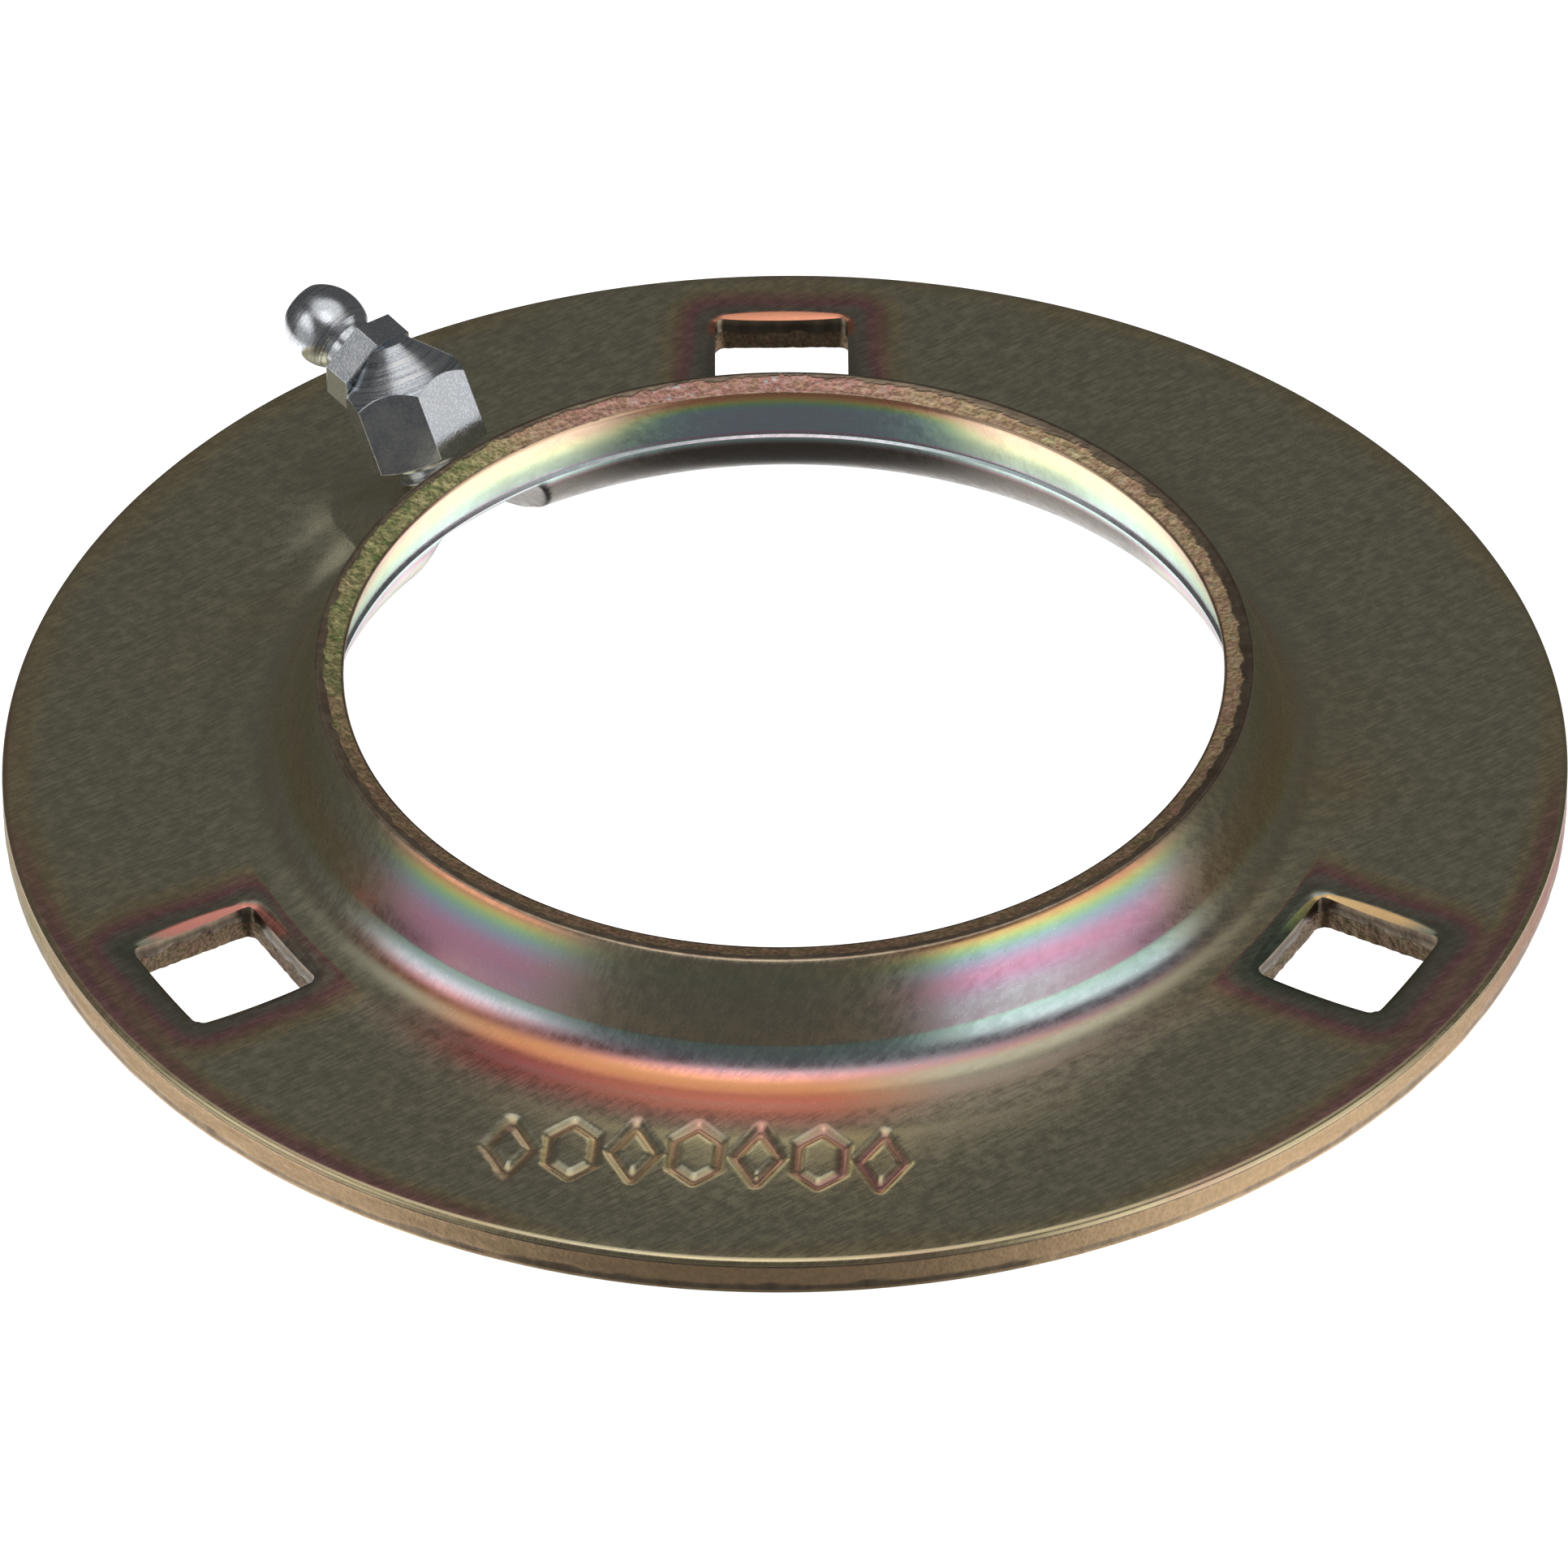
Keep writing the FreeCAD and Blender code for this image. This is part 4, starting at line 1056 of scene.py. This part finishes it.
def coated_material():
    """Yellow-passivated zinc: olive on the flats, rainbow film on the collar, maroon at edges."""
    material, graph, shader, place = new_material("iridescent_zinc")
    broad = graph.noise(place, *BROAD_NOISE)
    mottle = graph.noise(place, *MOTTLE_NOISE)
    grain = graph.noise(graph.along(place, GRAIN_AZIMUTH, PLATE_GRAIN), *GRAIN_NOISE)
    specks = graph.noise(place, *SPECK_NOISE)
    flat = graph.math("SUBTRACT", 1.0, graph.attribute("spun"))
    plate_at = graph.total(
        graph.attribute("halo"), graph.product(graph.attribute("mark"), MARK_DARKENS),
        graph.centred(broad, PLATE_WANDER["broad"]), graph.centred(mottle, PLATE_WANDER["mottle"]),
        graph.centred(grain, PLATE_WANDER["grain"]))
    plate = graph.ramp(graph.clamped(plate_at), PLATE_FILM)
    collar_at = graph.total(graph.attribute("film"), graph.centred(mottle, COLLAR_WANDER))
    collar = graph.ramp(graph.clamped(collar_at), COLLAR_FILM, "B_SPLINE")
    # Painted reflection: the seat's film mixed towards white away from its far centre.
    collar = graph.mix(graph.attribute("painted_reflection"), collar, WHITE)
    # Film over the plate's colour, shown most where highlights fall: partly a painted sheen.
    colour = graph.mix(graph.attribute("collar"), plate, collar)
    # Painted shade: darker and browner low in the bore and round the back of the bend.
    colour = graph.mix(graph.attribute("painted_shade"), colour, tint(*PAINTED_SHADE_BROWN))
    streak = graph.total(graph.centred(grain, GRAIN_STREAK), graph.centred(mottle, MOTTLE_STREAK))
    shade = graph.total(1.0, graph.product(streak, flat))
    shade = graph.product(shade, graph.ease(specks, *SPECK_SHINE))
    graph.set(shader, "Base Color", graph.scale(colour, shade))
    graph.set(shader, "Roughness", graph.ease(graph.total(grain, mottle), *COATED_ROUGHNESS))
    height = graph.total(graph.product(grain, GRAIN_RELIEF), graph.product(specks, SPECK_RELIEF))
    height = graph.product(height, graph.total(flat, SPUN_RELIEF))
    graph.set(shader, "Normal", graph.bump(height, *COATED_BUMP))
    return material


def cut_material():
    """Sheared steel under the same film: dark burnished band, coarse torn grain."""
    material, graph, shader, place = new_material("iridescent_zinc_cut")
    torn = graph.attribute("torn")
    rough = graph.attribute("grain")
    coarse = graph.noise(place, *TEAR_GRAIN_NOISE)
    patches = graph.noise(place, *TEAR_PATCH_NOISE)
    streaks = graph.noise(graph.along(place, 0.0, SHEAR_STREAKS), *STREAK_NOISE)
    crumbs = graph.node("ShaderNodeTexVoronoi", None, Vector=place, Scale=TEAR_CRUMB_SCALE).outputs[0]
    swing = graph.total(graph.centred(coarse, TEAR_WANDER), graph.centred(patches, TEAR_PATCH_WANDER))
    hue = graph.clamped(graph.total(graph.attribute("hue"), graph.product(swing, rough)))
    shade = graph.ease(graph.total(coarse, graph.centred(crumbs, CRUMB_SHADE)), *TEAR_SHADE)
    shade = graph.total(1.0, graph.product(shade, rough))
    open_grain = graph.scale(graph.ramp(hue, CUT_FILM), shade)
    sheared = graph.mix(graph.ease(torn, *TORN_MIX), graph.ramp(streaks, BURNISHED), open_grain)
    # Painted highlight on the lip and painted shade inside the holes, as a brightness on the colour.
    graph.set(shader, "Base Color", graph.scale(sheared, graph.attribute("painted_light")))
    graph.set(shader, "Roughness", graph.ease(torn, *CUT_ROUGHNESS))
    height = graph.total(coarse, graph.product(crumbs, CRUMB_RELIEF))
    height = graph.product(height, rough, graph.ease(torn, *TEAR_RELIEF))
    height = graph.total(height, graph.product(streaks, STREAK_RELIEF))
    graph.set(shader, "Normal", graph.bump(height, *CUT_BUMP))
    return material


def bright_material(name, colour, axis_empty):
    """Clear-passivated zinc: blue-white, finely pitted with painted glints in the pitting, with turning marks
    where it was lathe-cut.
    """
    material, graph, shader, place = new_material(name)
    pits_and_glints = graph.noise(place, *PIT_NOISE)
    cloud = graph.noise(place, *CLOUD_NOISE)
    local = graph.node("ShaderNodeTexCoord", {"object": axis_empty}).outputs["Object"]
    rings = graph.noise(graph.stretch(local, TURNING_RINGS), *RING_NOISE)
    facing = graph.node("ShaderNodeNewGeometry").outputs["Normal"]
    lean = graph.math("ABSOLUTE", graph.dot(facing, tuple(axis_empty.matrix_world.to_3x3().col[2])))
    turned = graph.product(graph.ease(lean, *OFF_AXIS), graph.ease(lean, *OFF_END_FACE))
    lines = graph.total(1.0, graph.product(graph.centred(rings, RING_SHADE), turned))
    # Painted glints in the pitting, with cloudy tone and turning marks.
    shade = graph.product(graph.ease(pits_and_glints, *PIT_GLINTS), graph.ease(cloud, *CLOUD_SHADE), lines)
    graph.set(shader, "Base Color", graph.scale(graph.mix(cloud, tint(*colour), tint(*PALE_ZINC)), shade))
    graph.set(shader, "Roughness", graph.ease(cloud, *BRIGHT_ROUGHNESS))
    height = graph.total(graph.product(pits_and_glints, PIT_RELIEF), graph.product(rings, turned, RING_RELIEF))
    bevel = graph.node("ShaderNodeBevel", {"samples": BEVEL_SAMPLES}, Radius=BEVEL_RADIUS).outputs[0]
    graph.set(shader, "Normal", graph.bump(height, *BRIGHT_BUMP, Normal=bevel))
    return material


# ======== fitting
FITTING_FOOT = 41.6
STANDOFF = 1.9
FITTING_TURN = 7.0
JUNCTION_HEIGHT = 4.7
HEAD_ANGLE = 45.0
PALE_ZINC = (246, 250, 255)
BRIGHT_ZINC = (232, 240, 250)
BALL_STEEL = (215, 218, 222)
SPRING_STEEL = (150, 150, 152)


def turned_about(axis, degrees):
    return Matrix.Rotation(math.radians(degrees), 4, axis)


def fitting_frame():
    """Where the elbow body sits: square to the pad, the standoff above it, turned on its thread."""
    tilt = math.radians(FITTING_TILT)
    out = FITTING_FOOT + STANDOFF * math.sin(tilt)
    up = THICKNESS + (PAD_FOOT - FITTING_FOOT) * RAMP + STANDOFF * math.cos(tilt)
    place = Matrix.Translation(Vector((out, 0.0, up)) * MM)
    tilted = place @ turned_about("Y", FITTING_TILT) @ turned_about("Z", FITTING_TURN)
    return turned_about("Z", FITTING_AZIMUTH) @ tilted


def head_frame():
    return fitting_frame() @ Matrix.Translation((0, 0, JUNCTION_HEIGHT * MM)) @ turned_about("Y", HEAD_ANGLE)


def marker(name, matrix):
    """An empty on the housing whose Z is a turning axis."""
    empty = bpy.data.objects.new(name, None)
    bpy.context.scene.collection.objects.link(empty)
    empty.matrix_world = matrix
    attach(empty, "housing")
    return empty


def finish_fitting():
    """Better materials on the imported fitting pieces."""
    body_axis = marker("body_axis", fitting_frame())
    head_axis = marker("head_axis", head_frame())
    for node, name, colour, axis in (
            ("elbow_body", "bright_zinc_body", BRIGHT_ZINC, body_axis),
            ("nipple_head", "bright_zinc_head", BRIGHT_ZINC, head_axis),
            ("check_ball", "polished_ball", BALL_STEEL, head_axis),
            ("check_spring", "spring_wire", SPRING_STEEL, head_axis)):
        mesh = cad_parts[node].data
        mesh.materials.clear()
        mesh.materials.append(bright_material(name, colour, axis))


# ======== studio
CAMERA_PITCH = 39.197
CAMERA_YAW = 0.062
CAMERA_ROLL = -0.547
CAMERA_DISTANCE = 1.70789
CAMERA_TARGET = (-0.0000783, 0.0001966, 0.0)
CAMERA_LENS = 502.6
CAMERA_SENSOR = 36.0
CAMERA_CLIP = (0.1, 30.0)
FLOOR_REACH = 12.0
FLOOR_GAP = 0.1 * MM
FLOOR_GREY = (0.25, 0.25, 0.25, 1.0)
FLOOR_ROUGHNESS = 0.8
BACKDROP = 0.95
FILL_SIZE = 2.4
FILL_HEIGHT = 2.0
FILL_POWER = 60.0

# Soft lights seen only in the metal. Each limit is what is measured, where it starts, where it is full,
# and the light's strength at both; x, y and z are the direction's own, spread and overhead are below.
STUDIO_LIGHTS = (
    (("spread", 0.2, 0.5), ("z", -0.42, -0.6), ("z", -0.66, -0.8, 0.8, 1.35)),
    (("x", 0.42, 0.68), ("y", 0.14, -0.1), ("z", 0.58, 0.38), ("x", 0.84, 0.98, 0.88, 0.62)),
    (("x", -0.6, -0.84), ("y", 0.14, -0.1), ("z", 0.86, 0.7), ("z", -0.05, 0.45, 0.28, 0.9)),
    (("overhead", 0.93, 0.985, 0.0, 1.15),),
    (("z", 0.7, 0.93, 0.0, 0.6), ("y", 0.7, 0.35)),
)
STUDIO_DIM = ("z", -0.3, -0.6, 0.08, 0.15)
OVERHEAD = (-0.1, -0.33, 0.94)
SPREAD_Y = 0.6


def build_camera():
    pitch, yaw = math.radians(CAMERA_PITCH), math.radians(CAMERA_YAW)
    back = Vector((math.sin(yaw) * math.cos(pitch), -math.cos(yaw) * math.cos(pitch), math.sin(pitch)))
    right = (-back).cross(Vector((0, 0, 1))).normalized()
    up = right.cross(-back)
    level = Matrix((right, up, back)).transposed().to_4x4()
    camera = bpy.data.objects.new("camera", bpy.data.cameras.new("camera"))
    bpy.context.scene.collection.objects.link(camera)
    camera.data.lens = CAMERA_LENS
    camera.data.sensor_width = CAMERA_SENSOR
    camera.data.clip_start, camera.data.clip_end = CAMERA_CLIP
    place = Matrix.Translation(Vector(CAMERA_TARGET) + back * CAMERA_DISTANCE)
    camera.matrix_world = place @ level @ turned_about("Z", CAMERA_ROLL)
    bpy.context.scene.camera = camera


def floor_material():
    """White, and clear from beneath, so that the underside of the part can be seen."""
    material, graph, shader, _ = new_material("pale_floor", metallic=0.0)
    graph.set(shader, "Base Color", FLOOR_GREY)
    graph.set(shader, "Roughness", FLOOR_ROUGHNESS)
    graph.set(shader, "Emission Color", WHITE)
    graph.set(shader, "Emission Strength", 1.0)
    from_below = graph.node("ShaderNodeNewGeometry").outputs["Backfacing"]
    clear = graph.node("ShaderNodeBsdfTransparent").outputs[0]
    graph.finish(graph.mix_shader(from_below, shader.outputs[0], clear))
    return material


def build_floor():
    mesh = bpy.data.meshes.new("floor")
    corners = [(x * FLOOR_REACH, y * FLOOR_REACH, 0.0) for x, y in ((-1, -1), (1, -1), (1, 1), (-1, 1))]
    mesh.from_pydata(corners, [], [(0, 1, 2, 3)])
    floor = bpy.data.objects.new("floor", mesh)
    bpy.context.scene.collection.objects.link(floor)
    floor.location.z = cad_box[0].z - FLOOR_GAP
    floor.data.materials.append(floor_material())
    floor.visible_glossy = False


def build_world():
    """A soft studio: dim all round, bright to the sides and from below, a soft light overhead."""
    world = bpy.data.worlds.new("studio")
    bpy.context.scene.world = world
    world.use_nodes = True
    graph = Graph(world.node_tree, "ShaderNodeOutputWorld")
    direction = graph.node("ShaderNodeTexCoord").outputs["Generated"]
    x, y, z = graph.node("ShaderNodeSeparateXYZ", None, Vector=direction).outputs
    spread = graph.total(graph.math("ABSOLUTE", x), graph.product(y, SPREAD_Y))
    measured = {"x": x, "y": y, "z": z, "spread": spread, "overhead": graph.dot(direction, OVERHEAD)}

    def limit(what, *ends):
        return graph.ease(measured[what], *ends)

    brightest = 0.0
    for limits in STUDIO_LIGHTS:
        brightest = graph.math("MAXIMUM", brightest, graph.product(*(limit(*ends) for ends in limits)))
    light = graph.total(limit(*STUDIO_DIM), brightest)
    seen = graph.node("ShaderNodeLightPath").outputs["Is Camera Ray"]
    studio = graph.node("ShaderNodeBackground", None, Color=WHITE, Strength=light).outputs[0]
    backdrop = graph.node("ShaderNodeBackground", None, Color=WHITE, Strength=BACKDROP).outputs[0]
    graph.finish(graph.mix_shader(seen, studio, backdrop))


def build_fill():
    """A wide soft light that whitens the floor without showing in the metal."""
    light = bpy.data.objects.new("fill", bpy.data.lights.new("fill", "AREA"))
    light.data.shape = "DISK"
    light.data.size = FILL_SIZE
    light.data.energy = FILL_POWER
    light.location.z = FILL_HEIGHT
    light.visible_glossy = False
    bpy.context.scene.collection.objects.link(light)


def main():
    bpy.context.scene.view_settings.view_transform = "Standard"
    build_camera()
    build_floor()
    build_world()
    build_fill()
    flange = build_flange([coated_material(), cut_material()])
    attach(flange, "housing")
    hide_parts("flange_plate")
    finish_fitting()


main()
